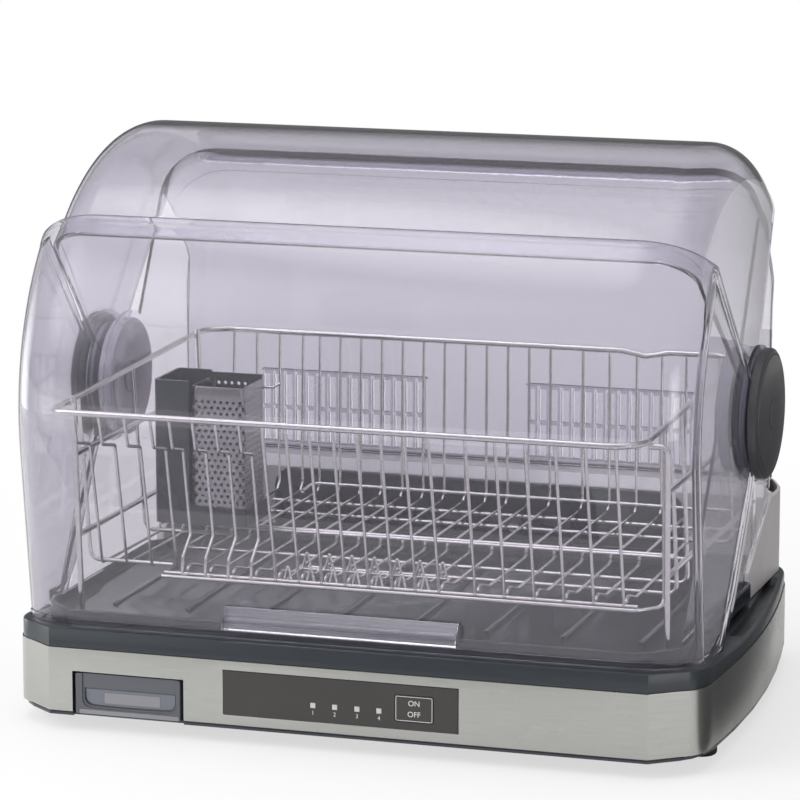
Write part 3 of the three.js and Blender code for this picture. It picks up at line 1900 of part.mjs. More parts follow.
function buildHolder() {
  const { leftX, rightX, frontY, backY, wall } = holder;
  const shell = block(leftX, rightX, frontY, backY, holder.bottom, holder.top);
  const hollow = block(
    holder.windowLeftX - wall,
    rightX - wall,
    frontY + wall,
    backY - wall,
    holder.bottom + wall,
    holder.top + overrun,
  );
  const frontWindow = block(
    holder.windowLeftX,
    rightX + overrun,
    frontY - overrun,
    frontY + wall + seatGap,
    holder.windowBottom,
    holder.windowTop,
  );
  const sideWindow = block(
    rightX - wall - seatGap,
    rightX + overrun,
    frontY - overrun,
    backY - wall - wall,
    holder.windowBottom,
    holder.windowTop,
  );
  const relief = block(
    leftX + wall,
    holder.windowLeftX - wall - wall,
    frontY + wall,
    backY - wall,
    holder.bottom - overrun,
    holder.top - wall,
  );
  const hookX = basket.leftX - basket.rimWire - holder.hookGap - holder.hookWall;
  const hookTop = holder.hookTop + holder.hookWall;
  const bridge = block(hookX, leftX + wall, holder.hookFrontY, holder.hookBackY, holder.hookTop, hookTop);
  const lip = block(
    hookX,
    hookX + holder.hookWall,
    holder.hookFrontY,
    holder.hookBackY,
    holder.hookTop - holder.hookDrop,
    hookTop,
  );
  const riser = block(
    leftX,
    leftX + wall,
    holder.hookFrontY,
    holder.hookBackY,
    holder.top - wall,
    hookTop,
  );
  const body = join(cut(shell, hollow, frontWindow, sideWindow, relief), bridge, lip, riser);
  add('cutlery_holder', body, finishes.slate);

  const gap = holder.linerGap;
  const x0 = holder.windowLeftX - wall + gap;
  const x1 = rightX - wall - gap;
  const y0 = frontY + wall + gap;
  const y1 = backY - wall - gap;
  const bottom = holder.bottom + wall + seatGap;
  const thin = holder.linerWall;
  let liner = cut(
    block(x0, x1, y0, y1, bottom, holder.linerTop),
    block(x0 + thin, x1 - thin, y0 + thin, y1 - thin, bottom + thin, holder.linerTop + overrun),
  );
  const half = holder.holeSize / 2;
  for (let row = 0; row < holder.holeRows; row += 1) {
    const z = holder.linerFloor + ((row + 1 / 2) * (holder.windowTop - holder.linerFloor)) / holder.holeRows;
    for (let column = 0; column < holder.holeColumns; column += 1) {
      const x = x0 + ((column + 1 / 2) * (x1 - x0)) / holder.holeColumns;
      liner = liner.subtract(block(x - half, x + half, y0 - overrun, y0 + thin + seatGap, z - half, z + half));
    }
  }
  add('cutlery_liner', liner, finishes.perforated);
}

buildFeet();
buildScrews();
buildTub();
buildBand();
buildTrim();
buildFloorTray();
buildDrainTray();
buildPanel();
buildPowerBoard();
buildHousing();
buildGasket();
buildDuctPanel();
buildFan();
buildHeater();
buildFilter();
buildInlet();
buildRearCover();
buildTopLid();
buildFrontLid();
buildPivots();
buildBasket();
buildStands();
buildProngs();
buildHolder();

const dryer = new THREE.Group();
dryer.name = 'electric_dish_dryer';
dryer.add(...parts);

export default dryer;
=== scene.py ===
"""Looks of an electric dish dryer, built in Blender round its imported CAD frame.

Sizes are in millimetres and are turned into metres where a mesh is made. The object faces -Y,
its width runs along X, and the floor is at Z 0.
"""

from __future__ import annotations

import json
import logging
import math
from collections.abc import Callable, Iterable, Sequence
from dataclasses import dataclass, field
from enum import Enum

import bmesh
import bpy
from mathutils import Matrix, Vector

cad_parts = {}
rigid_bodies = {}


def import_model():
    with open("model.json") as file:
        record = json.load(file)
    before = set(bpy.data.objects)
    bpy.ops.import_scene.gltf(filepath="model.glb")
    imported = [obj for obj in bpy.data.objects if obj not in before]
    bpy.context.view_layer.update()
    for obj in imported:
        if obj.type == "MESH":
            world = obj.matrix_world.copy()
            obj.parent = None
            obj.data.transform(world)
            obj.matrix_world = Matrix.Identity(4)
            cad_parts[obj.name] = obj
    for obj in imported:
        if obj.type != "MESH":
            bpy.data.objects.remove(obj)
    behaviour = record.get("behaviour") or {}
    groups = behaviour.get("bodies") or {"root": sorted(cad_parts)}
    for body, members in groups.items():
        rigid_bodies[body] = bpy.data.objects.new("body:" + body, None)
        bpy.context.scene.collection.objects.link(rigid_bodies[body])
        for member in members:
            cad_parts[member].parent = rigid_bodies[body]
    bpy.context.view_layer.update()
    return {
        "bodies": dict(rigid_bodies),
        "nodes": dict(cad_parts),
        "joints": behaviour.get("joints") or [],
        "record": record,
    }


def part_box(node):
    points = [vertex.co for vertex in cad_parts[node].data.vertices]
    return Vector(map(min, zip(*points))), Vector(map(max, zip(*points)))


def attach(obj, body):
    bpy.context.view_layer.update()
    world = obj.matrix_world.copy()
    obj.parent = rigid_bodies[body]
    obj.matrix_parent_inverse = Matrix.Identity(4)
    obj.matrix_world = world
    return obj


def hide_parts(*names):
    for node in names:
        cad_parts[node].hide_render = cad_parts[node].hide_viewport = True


LOG = logging.getLogger("scene")
MM = 0.001
HUB_Z = 227.0
HOLE_SIDES = 10
ROW_SHIFT = 100.0
BOX_FACES = ((0, 1, 3, 2), (4, 6, 7, 5), (0, 4, 5, 1), (2, 3, 7, 6), (0, 2, 6, 4), (1, 5, 7, 3))

Piece = bpy.types.Object
Socket = bpy.types.NodeSocket
Group = bpy.types.NodeTree
Point = tuple[float, float, float]
Flat = tuple[float, float]
Place = Callable[[float, float], Point]


class Axis(Enum):
    """Direction that a profile is turned about or drawn out along."""

    X = 0
    Y = 1
    Z = 2


class Slot(Enum):
    """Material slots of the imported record."""

    BAND = "brushed_band"
    WIRE = "wire_steel"
    PERFORATED = "perforated_steel"
    SLATE = "slate_plastic"
    TRIM = "trim_plastic"
    CLEAR = "clear_plastic"
    SMOKY = "smoky_plastic"
    CAP = "cap_plastic"
    PANEL = "panel_plastic"
    LAMP = "lamp_plastic"
    GREY = "grey_plastic"
    RUBBER = "foot_rubber"
    BOARD = "board_laminate"
    PLATED = "plated_steel"
    BLACK = "black_plastic"
    WHITE = "white_plastic"
    INK = "ink"


class Look(Enum):
    """Finishes that differ from the plain one of a piece's slot."""

    WET = "glossy_slate"
    PALE = "pale_clear"
    DEEP = "drawer_recess"
    GLOW = "drawer_pale"
    FASCIA = "housing_fascia"
    SHEER = "side_plate"
    GRIP = "lid_grip"


# Plain geometry


def offset_path(points: Sequence[Flat], distance: float, closed: bool = False) -> list[Flat]:
    """Moves a flat path sideways with mitred corners.

    Args:
        points: The path, in order.
        distance: How far it moves to the left of its direction; negative moves it right.
        closed: Whether the last point joins the first.

    Returns:
        The moved path, with as many points.
    """
    count = len(points)
    moved: list[Flat] = []
    for i, (x, y) in enumerate(points):
        before = points[(i - 1) % count] if closed or i > 0 else None
        after = points[(i + 1) % count] if closed or i < count - 1 else None
        normals: list[Vector] = []
        for a, b in ((before, (x, y)), ((x, y), after)):
            if a is not None and b is not None:
                edge = Vector((b[0] - a[0], b[1] - a[1]))
                if edge.length > 1e-7:
                    edge.normalize()
                    normals.append(Vector((-edge.y, edge.x)))
        if len(normals) == 1:
            normals = normals * 2
        scale = distance / max(0.2, 1.0 + normals[0].dot(normals[1]))
        total = (normals[0] + normals[1]) * scale
        moved.append((x + total.x, y + total.y))
    return moved


def arc(centre: Flat, radius: float, start: float, end: float, steps: int) -> list[Flat]:
    """Points along a circle's arc, with angles in degrees from the first axis."""
    places = [math.radians(start + (end - start) * i / steps) for i in range(steps + 1)]
    return [(centre[0] + radius * math.cos(a), centre[1] + radius * math.sin(a)) for a in places]


def bezier(points: Sequence[Flat], steps: int) -> list[Flat]:
    """Points along a quadratic or cubic curve, both ends included.

    Args:
        points: The points, in order.
        steps: How many steps it is made in.

    Returns:
        The outline.
    """
    made: list[Flat] = []
    for i in range(steps + 1):
        level = [Vector(p) for p in points]
        while len(level) > 1:
            level = [a.lerp(b, i / steps) for a, b in zip(level, level[1:])]
        made.append((level[0].x, level[0].y))
    return made


def rounded(points: Sequence[Flat], radius: float, steps: int = 5) -> list[Flat]:
    """A closed flat outline with each corner eased by a curve that starts radius from it.

    Args:
        points: The points, in order.
        radius: The radius.
        steps: How many steps it is made in.

    Returns:
        The outline.
    """
    made: list[Flat] = []
    count = len(points)
    for i in range(count):
        corner = Vector(points[i])
        arms = [Vector(points[i - 1]) - corner, Vector(points[(i + 1) % count]) - corner]
        reach = min(radius, arms[0].length * 0.49, arms[1].length * 0.49)
        start, end = (corner + arm.normalized() * reach for arm in arms)
        made += bezier([tuple(start), tuple(corner), tuple(end)], steps)
    return made


def corners(x: Flat, y: Flat) -> list[Flat]:
    """The four corners of a flat box, anticlockwise."""
    return [(x[0], y[0]), (x[1], y[0]), (x[1], y[1]), (x[0], y[1])]


def spread(start: float, end: float, steps: int) -> list[float]:
    """Evenly spaced values, both ends included."""
    return [start + (end - start) * i / steps for i in range(steps + 1)]


def make_mesh(name: str, points: Sequence[Point], faces: Sequence[Sequence[int]], sharp: float = 30) -> Piece:
    """Makes a closed mesh object from points in millimetres.

    Args:
        name: The piece's name.
        points: Its corners.
        faces: Corner numbers of each face.
        sharp: Edges that bend by more than this many degrees stay sharp.

    Returns:
        The new object, with its faces turned outward.
    """
    mesh = bpy.data.meshes.new(name)
    mesh.from_pydata([tuple(c * MM for c in p) for p in points], [], [tuple(f) for f in faces])
    thing = bpy.data.objects.new(name, mesh)
    bpy.context.scene.collection.objects.link(thing)
    tidy(thing, sharp)
    return thing


def tidy(thing: Piece, sharp: float = 30) -> None:
    """Merges doubled corners, turns the faces outward and sets which edges look sharp.

    Args:
        thing: The piece.
        sharp: Edges that bend by more than this many degrees stay sharp.
    """
    work = bmesh.new()
    work.from_mesh(thing.data)
    bmesh.ops.remove_doubles(work, verts=work.verts, dist=1e-6)
    loose = [v for v in work.verts if not v.link_faces]
    bmesh.ops.delete(work, geom=loose, context="VERTS")
    bmesh.ops.recalc_face_normals(work, faces=work.faces)
    work.to_mesh(thing.data)
    work.free()
    thing.data.shade_smooth()
    thing.data.set_sharp_from_angle(angle=math.radians(sharp))


def settled(thing: Piece, sharp: float = 30) -> Piece:
    """Replaces a piece's mesh by what its modifiers make of it, and removes them.

    Args:
        thing: The piece.
        sharp: Edges that bend by more than this many degrees stay sharp.

    Returns:
        The piece.
    """
    bpy.context.view_layer.update()
    graph = bpy.context.evaluated_depsgraph_get()
    result = bpy.data.meshes.new_from_object(thing.evaluated_get(graph), depsgraph=graph)
    materials = [m for m in result.materials if m]
    thing.modifiers.clear()
    thing.data = result
    if materials and not thing.data.materials:
        thing.data.materials.append(materials[0])
    tidy(thing, sharp)
    return thing


def evened(thing: Piece) -> Piece:
    """Leans corner normals toward the larger faces, so that faces beside rounded edges look flat.

    Args:
        thing: The piece.

    Returns:
        The piece.
    """
    change = thing.modifiers.new("even", "WEIGHTED_NORMAL")
    change.keep_sharp = True
    bpy.context.view_layer.update()
    graph = bpy.context.evaluated_depsgraph_get()
    result = bpy.data.meshes.new_from_object(thing.evaluated_get(graph), depsgraph=graph)
    thing.modifiers.clear()
    thing.data = result
    return thing


def eased(thing: Piece, width: float, steps: int = 2, angle: float = 35) -> Piece:
    """Rounds a piece's edges that bend by more than an angle, in millimetres and degrees.

    Args:
        thing: The piece.
        width: Width of the rounding, in millimetres.
        steps: How many steps it is made in.
        angle: Edges that bend by more than this many degrees are rounded.

    Returns:
        The piece.
    """
    change = thing.modifiers.new("ease", "BEVEL")
    change.width = width * MM
    change.segments = steps
    change.limit_method = "ANGLE"
    change.angle_limit = math.radians(angle)
    change.use_clamp_overlap = True
    return evened(settled(thing, 40))


def carved(thing: Piece, cutters: Iterable[Piece], joined: bool = False) -> Piece:
    """Cuts other solids out of a piece, or joins them to it, and removes them.

    Args:
        thing: The piece.
        cutters: The other solids, which are used up.
        joined: Whether they are joined rather than cut out.

    Returns:
        The piece.
    """
    for cutter in cutters:
        change = thing.modifiers.new("carve", "BOOLEAN")
        change.operation = "UNION" if joined else "DIFFERENCE"
        change.solver = "EXACT"
        change.object = cutter
        settled(thing)
        bpy.data.objects.remove(cutter)
    return thing


def put(axis: Axis, along: float, a: float, b: float) -> Point:
    """A point at a place along an axis, with its two other coordinates in X, Y, Z order."""
    return {Axis.X: (along, a, b), Axis.Y: (a, along, b), Axis.Z: (a, b, along)}[axis]


def prism(name: str, outline: Sequence[Flat], axis: Axis, start: float, end: float) -> Piece:
    """Draws a flat outline out along an axis.

    Args:
        name: The new item's name.
        outline: The flat outline.
        axis: The axis that it is drawn along.
        start: Where it starts.
        end: Where it ends.

    Returns:
        The piece.
    """
    count = len(outline)
    points = [put(axis, at, a, b) for at in (start, end) for a, b in outline]
    faces: list[Sequence[int]] = [range(count), range(2 * count - 1, count - 1, -1)]
    faces += [(i, (i + 1) % count, count + (i + 1) % count, count + i) for i in range(count)]
    return make_mesh(name, points, faces)


def block(name: str, x: Flat, y: Flat, z: Flat) -> Piece:
    """A plain block between two values on each axis, used as a blank or a cutter."""
    return prism(name, corners(x, y), Axis.Z, z[0], z[1])


def turned(name: str, profile: Sequence[Flat], axis: Axis, centre: Flat, steps: int = 64,
           sharp: float = 30) -> Piece:
    """Turns a profile of (radius, place along the axis) into a round solid.

    Args:
        name: The piece's name.
        profile: The profile; a radius of 0 at an end closes the middle.
        axis: The axis of the turn.
        centre: The axis's two other coordinates, in X, Y, Z order.
        steps: Sides round the turn.
        sharp: Edges that bend by more than this many degrees stay sharp.

    Returns:
        The new object.
    """
    points: list[Point] = []
    faces: list[Sequence[int]] = []
    count = len(profile)
    for i in range(steps):
        turn = 2 * math.pi * i / steps
        for radius, along in profile:
            points.append(put(axis, along, centre[0] + radius * math.cos(turn),
                              centre[1] + radius * math.sin(turn)))
    last = count if profile[0][0] > 0 else count - 1
    for i in range(steps):
        for j in range(last):
            a, b = i * count, ((i + 1) % steps) * count
            k = (j + 1) % count
            faces.append((a + j, b + j, b + k, a + k))
    return make_mesh(name, points, faces, sharp)


def walled(name: str, outer: Sequence[Sequence[Point]], inner: Sequence[Sequence[Point]],
           closed: bool = False, gaps: Callable[[int, int], bool] | None = None,
           sharp: float = 30) -> Piece:
    """Makes a wall between two matching nets of points, closed along every edge and gap.

    Args:
        name: The piece's name.
        outer: Rows of points on the outside.
        inner: Rows of points on the inside, as many in each row.
        closed: Whether the last row joins the first.
        gaps: Says which cell, by row and column, is left open.
        sharp: Edges that bend by more than this many degrees stay sharp.

    Returns:
        The new object.
    """
    rows, columns = len(outer), len(outer[0])
    shift = rows * columns
    points = [p for row in outer for p in row] + [p for row in inner for p in row]
    skin: list[tuple[int, int, int, int]] = []
    for i in range(rows if closed else rows - 1):
        k = (i + 1) % rows
        for j in range(columns - 1):
            if gaps is None or not gaps(i, j):
                skin.append((i * columns + j, k * columns + j, k * columns + j + 1, i * columns + j + 1))
    edges = {(f[n], f[(n + 1) % 4]) for f in skin for n in range(4)}
    faces: list[Sequence[int]] = list(skin)
    faces += [tuple(shift + v for v in reversed(f)) for f in skin]
    faces += [(b, a, a + shift, b + shift) for a, b in edges if (b, a) not in edges]
    return make_mesh(name, points, faces, sharp)


def looped(name: str, sections: Sequence[Sequence[Point]], sharp: float = 30) -> Piece:
    """Joins closed sections, each a ring of points, into one closed loop.

    Args:
        name: The new item's name.
        sections: The rings of points, in order.
        sharp: Edges that bend by more than this many degrees stay sharp.

    Returns:
        The piece.
    """
    rows, columns = len(sections), len(sections[0])
    points = [p for row in sections for p in row]
    faces = [(i * columns + j, ((i + 1) % rows) * columns + j, ((i + 1) % rows) * columns + (j + 1) % columns,
              i * columns + (j + 1) % columns) for i in range(rows) for j in range(columns)]
    return make_mesh(name, points, faces, sharp)


def softened(node: str, name: str, width: float, steps: int = 2) -> Piece:
    """A copy of a CAD node with its triangles merged into faces and its edges rounded.

    Args:
        node: The CAD node's name.
        name: The new item's name.
        width: Width of the rounding, in millimetres.
        steps: How many steps it is made in.

    Returns:
        The piece.
    """
    source = bpy.data.objects[node]
    thing = bpy.data.objects.new(name, source.data.copy())
    bpy.context.scene.collection.objects.link(thing)
    thing.data.materials.clear()
    work = bmesh.new()
    work.from_mesh(thing.data)
    bmesh.ops.remove_doubles(work, verts=work.verts, dist=2e-6)
    bmesh.ops.dissolve_limit(work, angle_limit=math.radians(1), verts=work.verts, edges=work.edges)
    bmesh.ops.recalc_face_normals(work, faces=work.faces)
    work.to_mesh(thing.data)
    work.free()
    return eased(thing, width, steps)


# Geometry Nodes trees


class Net:
    """A node tree under construction."""

    def __init__(self, tree: Group) -> None:
        """Keeps the tree that nodes are added to."""
        self.tree = tree

    def node(self, kind: str, **settings: object) -> bpy.types.Node:
        """Adds a node and sets its own properties."""
        made = self.tree.nodes.new(kind)
        for key, value in settings.items():
            setattr(made, key, value)
        return made

    def link(self, source: Socket, target: Socket) -> None:
        """Joins two sockets."""
        self.tree.links.new(source, target)

    def feed(self, target: Socket, value: object) -> None:
        """Gives an input a value, or the output that it is to follow."""
        if isinstance(value, Socket):
            self.link(value, target)
        else:
            target.default_value = value

    def wired(self, kind: str, sockets: dict[str | int, object], **settings: object) -> bpy.types.Node:
        """Adds a node and gives each listed input a value or the output that it follows.

        Args:
            kind: The node's type.
            sockets: A value or an output for each input, by name or number.
            settings: The node's own properties.

        Returns:
            The new node.
        """
        made = self.node(kind, **settings)
        for place, value in sockets.items():
            self.feed(made.inputs[place], value)
        return made

    def math(self, operation: str, a: object, b: object = 0.0) -> Socket:
        """Adds a Math node of two values or sockets and returns its output."""
        made = self.node("ShaderNodeMath", operation=operation)
        for place, value in enumerate((a, b)):
            self.feed(made.inputs[place], value if isinstance(value, Socket) else float(value))
        return made.outputs[0]


class Tree(Net):
    """A Geometry Nodes tree under construction, with named inputs."""

    def __init__(self, name: str) -> None:
        """Starts an empty tree with a geometry input and output.

        Args:
            name: The new item's name.
        """
        super().__init__(bpy.data.node_groups.new(name, "GeometryNodeTree"))
        self.sockets: dict[str, str] = {}
        self.add_input("Geometry", "NodeSocketGeometry")
        self.tree.interface.new_socket("Geometry", in_out="OUTPUT", socket_type="NodeSocketGeometry")
        self.start = self.node("NodeGroupInput")
        self.end = self.node("NodeGroupOutput")

    def add_input(self, name: str, kind: str) -> None:
        """Adds a named input of a socket kind."""
        made = self.tree.interface.new_socket(name, in_out="INPUT", socket_type=kind)
        self.sockets[name] = made.identifier

    def close(self, geometry: Socket) -> None:
        """Ends the tree: smooth shading, real instances and the Material input on every face.

        Args:
            geometry: The geometry to end with.
        """
        self.add_input("Material", "NodeSocketMaterial")
        smooth = self.node("GeometryNodeSetShadeSmooth")
        real = self.node("GeometryNodeRealizeInstances")
        paint = self.node("GeometryNodeSetMaterial")
        self.link(geometry, smooth.inputs["Geometry"])
        self.link(smooth.outputs["Geometry"], real.inputs["Geometry"])
        self.link(real.outputs["Geometry"], paint.inputs["Geometry"])
        self.link(self.start.outputs["Material"], paint.inputs["Material"])
        self.link(paint.outputs["Geometry"], self.end.inputs["Geometry"])

    def run(self, thing: Piece, sharp: float = 40, **values: object) -> Piece:
        """Runs the tree on a piece with the named inputs set, and keeps the resulting mesh.

        Args:
            thing: The piece.
            sharp: Edges that bend by more than this many degrees stay sharp.
            values: The tree's named inputs.

        Returns:
            The piece.
        """
        change = thing.modifiers.new("rule", "NODES")
        change.node_group = self.tree
        for name, value in values.items():
            change[self.sockets[name]] = value
        return settled(thing, sharp)


def wire_tree() -> Tree:
    """Makes a tree that bends every path of edges softly and gives it a round section.

    Returns:
        The tree.
    """
    made = Tree("bent_wire")
    for name, kind in (("Radius", "Float"), ("Bend", "Float"), ("Sides", "Int")):
        made.add_input(name, f"NodeSocket{kind}")
    get = made.start.outputs
    path = made.wired("GeometryNodeMeshToCurve", {"Mesh": get["Geometry"]})
    fillet = made.wired("GeometryNodeFilletCurve", {"Curve": path.outputs["Curve"], "Radius": get["Bend"],
                                                    "Count": 4, "Limit Radius": True}, mode="POLY")
    ring = made.wired("GeometryNodeCurvePrimitiveCircle", {"Resolution": get["Sides"],
                                                           "Radius": get["Radius"]})
    tube = made.wired("GeometryNodeCurveToMesh", {"Curve": fillet.outputs["Curve"],
                                                  "Profile Curve": ring.outputs["Curve"],
                                                  "Fill Caps": True})
    made.close(tube.outputs["Mesh"])
    return made


def pierced_sheet(made: Tree) -> Socket:
    """Lays a flat closed sheet of staggered holes from a tree's named inputs.

    Args:
        made: The tree, which has the pitches, the hole, the thickness and the counts as inputs.

    Returns:
        The sheet, centred on the origin in X and Y.
    """
    get = made.start.outputs
    pitch, row_pitch = get["Pitch"], get["Row pitch"]
    square = made.wired("GeometryNodeCurvePrimitiveQuadrilateral", {"Width": pitch, "Height": row_pitch})
    hole = made.wired("GeometryNodeCurvePrimitiveCircle", {"Resolution": HOLE_SIDES, "Radius": get["Hole"]})
    both = made.node("GeometryNodeJoinGeometry")
    made.link(square.outputs["Curve"], both.inputs[0])
    made.link(hole.outputs["Curve"], both.inputs[0])
    fill = made.wired("GeometryNodeFillCurve", {"Curve": both.outputs[0]}, mode="TRIANGLES")
    net = made.wired("GeometryNodeMeshGrid", {
        "Size X": made.math("MULTIPLY", pitch, made.math("SUBTRACT", get["Columns"], 1)),
        "Size Y": made.math("MULTIPLY", row_pitch, made.math("SUBTRACT", get["Rows"], 1)),
        "Vertices X": get["Columns"], "Vertices Y": get["Rows"]})
    parts = made.wired("ShaderNodeSeparateXYZ", {0: made.node("GeometryNodeInputPosition").outputs[0]})
    row = made.math("ROUND", made.math("ADD", made.math("DIVIDE", parts.outputs["Y"], row_pitch), ROW_SHIFT))
    odd = made.math("MODULO", row, 2.0)
    move = made.wired("ShaderNodeCombineXYZ",
                      {"X": made.math("MULTIPLY", odd, made.math("MULTIPLY", pitch, 0.5))})
    shift = made.wired("GeometryNodeSetPosition", {"Geometry": net.outputs["Mesh"],
                                                   "Offset": move.outputs[0]})
    place = made.wired("GeometryNodeInstanceOnPoints",
                       {"Points": shift.outputs["Geometry"], "Instance": fill.outputs["Mesh"]})
    real = made.wired("GeometryNodeRealizeInstances", {"Geometry": place.outputs["Instances"]})
    weld = made.wired("GeometryNodeMergeByDistance", {"Geometry": real.outputs["Geometry"], "Distance": 1e-5})
    thick = made.wired("GeometryNodeExtrudeMesh", {
        "Mesh": weld.outputs["Geometry"], "Offset Scale": get["Thickness"], "Individual": False})
    turn = made.wired("GeometryNodeFlipFaces", {"Mesh": weld.outputs["Geometry"]})
    whole = made.node("GeometryNodeJoinGeometry")
    made.link(thick.outputs["Mesh"], whole.inputs[0])
    made.link(turn.outputs["Mesh"], whole.inputs[0])
    seam = made.wired("GeometryNodeMergeByDistance", {"Geometry": whole.outputs[0], "Distance": 1e-6})
    return seam.outputs["Geometry"]


def sheet_tree() -> Tree:
    """Makes a tree that wraps a staggered perforated sheet round a closed path of edges.

    Returns:
        The tree.
    """
    made = Tree("perforated_wrap")
    for name, kind in (("Pitch", "Float"), ("Row pitch", "Float"), ("Hole", "Float"), ("Thickness", "Float"),
                       ("Rows", "Int"), ("Columns", "Int")):
        made.add_input(name, f"NodeSocket{kind}")
    sheet = pierced_sheet(made)
    path = made.wired("GeometryNodeMeshToCurve", {"Mesh": made.start.outputs["Geometry"]})
    length = made.wired("GeometryNodeCurveLength", {"Curve": path.outputs["Curve"]})
    split = made.wired("ShaderNodeSeparateXYZ", {0: made.node("GeometryNodeInputPosition").outputs[0]})
    along = made.math("FLOORED_MODULO", split.outputs["X"], length.outputs[0])
    sample = made.wired("GeometryNodeSampleCurve", {"Curves": path.outputs["Curve"], "Length": along},
                        mode="LENGTH")
    cross = made.wired("ShaderNodeVectorMath", {0: sample.outputs["Tangent"], 1: (0.0, 0.0, 1.0)},
                       operation="CROSS_PRODUCT")
    out = made.wired("ShaderNodeVectorMath", {0: cross.outputs[0], "Scale": split.outputs["Z"]},
                     operation="SCALE")
    rise = made.wired("ShaderNodeCombineXYZ", {"Z": split.outputs["Y"]})
    one = made.wired("ShaderNodeVectorMath", {0: sample.outputs["Position"], 1: out.outputs[0]},
                     operation="ADD")
    two = made.wired("ShaderNodeVectorMath", {0: one.outputs[0], 1: rise.outputs[0]}, operation="ADD")
    wrap = made.wired("GeometryNodeSetPosition", {"Geometry": sheet, "Position": two.outputs[0]})
    made.close(wrap.outputs["Geometry"])
    return made


def edge_paths(name: str, paths: Sequence[Sequence[Point]], closed: bool = False) -> Piece:
    """An object of bare edges, one chain for each path, for a tree to build on.

    Args:
        name: The new item's name.
        paths: The paths of points.
        closed: Whether each path is a loop.

    Returns:
        The piece.
    """
    points: list[Point] = []
    edges: list[tuple[int, int]] = []
    for path in paths:
        first = len(points)
        points += [tuple(c * MM for c in p) for p in path]
        edges += [(first + i, first + i + 1) for i in range(len(path) - 1)]
        if closed:
            edges.append((len(points) - 1, first))
    mesh = bpy.data.meshes.new(name)
    mesh.from_pydata(points, edges, [])
    thing = bpy.data.objects.new(name, mesh)
    bpy.context.scene.collection.objects.link(thing)
    return thing


# Finishes


def shade_group(name: str, inputs: Sequence[tuple[str, str]],
                outputs: Sequence[tuple[str, str]]) -> tuple[Net, bpy.types.Node, bpy.types.Node]:
    """Starts a shader node group with named inputs and outputs, given as (name, kind of socket).

    Args:
        name: The new item's name.
        inputs: The inputs.
        outputs: The outputs.

    Returns:
        The net and its input and output nodes.
    """
    tree = bpy.data.node_groups.new(name, "ShaderNodeTree")
    for side, sockets in (("INPUT", inputs), ("OUTPUT", outputs)):
        for label, kind in sockets:
            tree.interface.new_socket(label, in_out=side, socket_type=f"NodeSocket{kind}")
    net = Net(tree)
    return net, net.node("NodeGroupInput"), net.node("NodeGroupOutput")


def surface_group() -> Group:
    """A group for moulded surfaces: fine grain, soft smudges and their height.

    Returns:
        The group.
    """
    net, start, end = shade_group(
        "moulded_surface",
        [("Vector", "Vector"), ("Grain scale", "Float"), ("Smudge scale", "Float")],
        [("Grain", "Float"), ("Smudge", "Float"), ("Height", "Float")])
    grain = net.node("ShaderNodeTexNoise")
    smudge = net.node("ShaderNodeTexNoise")
    grain.inputs["Detail"].default_value = 3.0
    smudge.inputs["Detail"].default_value = 2.0
    for made, scale in ((grain, "Grain scale"), (smudge, "Smudge scale")):
        net.link(start.outputs["Vector"], made.inputs["Vector"])
        net.link(start.outputs[scale], made.inputs["Scale"])
    net.link(grain.outputs["Fac"], end.inputs["Grain"])
    net.link(smudge.outputs["Fac"], end.inputs["Smudge"])
    net.link(net.math("ADD", grain.outputs["Fac"], net.math("MULTIPLY", smudge.outputs["Fac"], 0.3)),
             end.inputs["Height"])
    return net.tree


def brush_group() -> Group:
    """A group for drawn or brushed metal: long streaks and a slow change across the sheet.

    Returns:
        The group.
    """
    net, start, end = shade_group(
        "brushed_streaks",
        [("Vector", "Vector"), ("Stretch", "Vector"), ("Scale", "Float")],
        [("Streak", "Float"), ("Cloud", "Float")])
    long = net.node("ShaderNodeVectorMath", operation="MULTIPLY")
    net.link(start.outputs["Vector"], long.inputs[0])
    net.link(start.outputs["Stretch"], long.inputs[1])
    streak = net.node("ShaderNodeTexNoise")
    streak.inputs["Detail"].default_value = 4.0
    net.link(long.outputs[0], streak.inputs["Vector"])
    net.link(start.outputs["Scale"], streak.inputs["Scale"])
    cloud = net.node("ShaderNodeTexNoise")
    cloud.inputs["Scale"].default_value = 9.0
    net.link(start.outputs["Vector"], cloud.inputs["Vector"])
    net.link(streak.outputs["Fac"], end.inputs["Streak"])
    net.link(cloud.outputs["Fac"], end.inputs["Cloud"])
    return net.tree


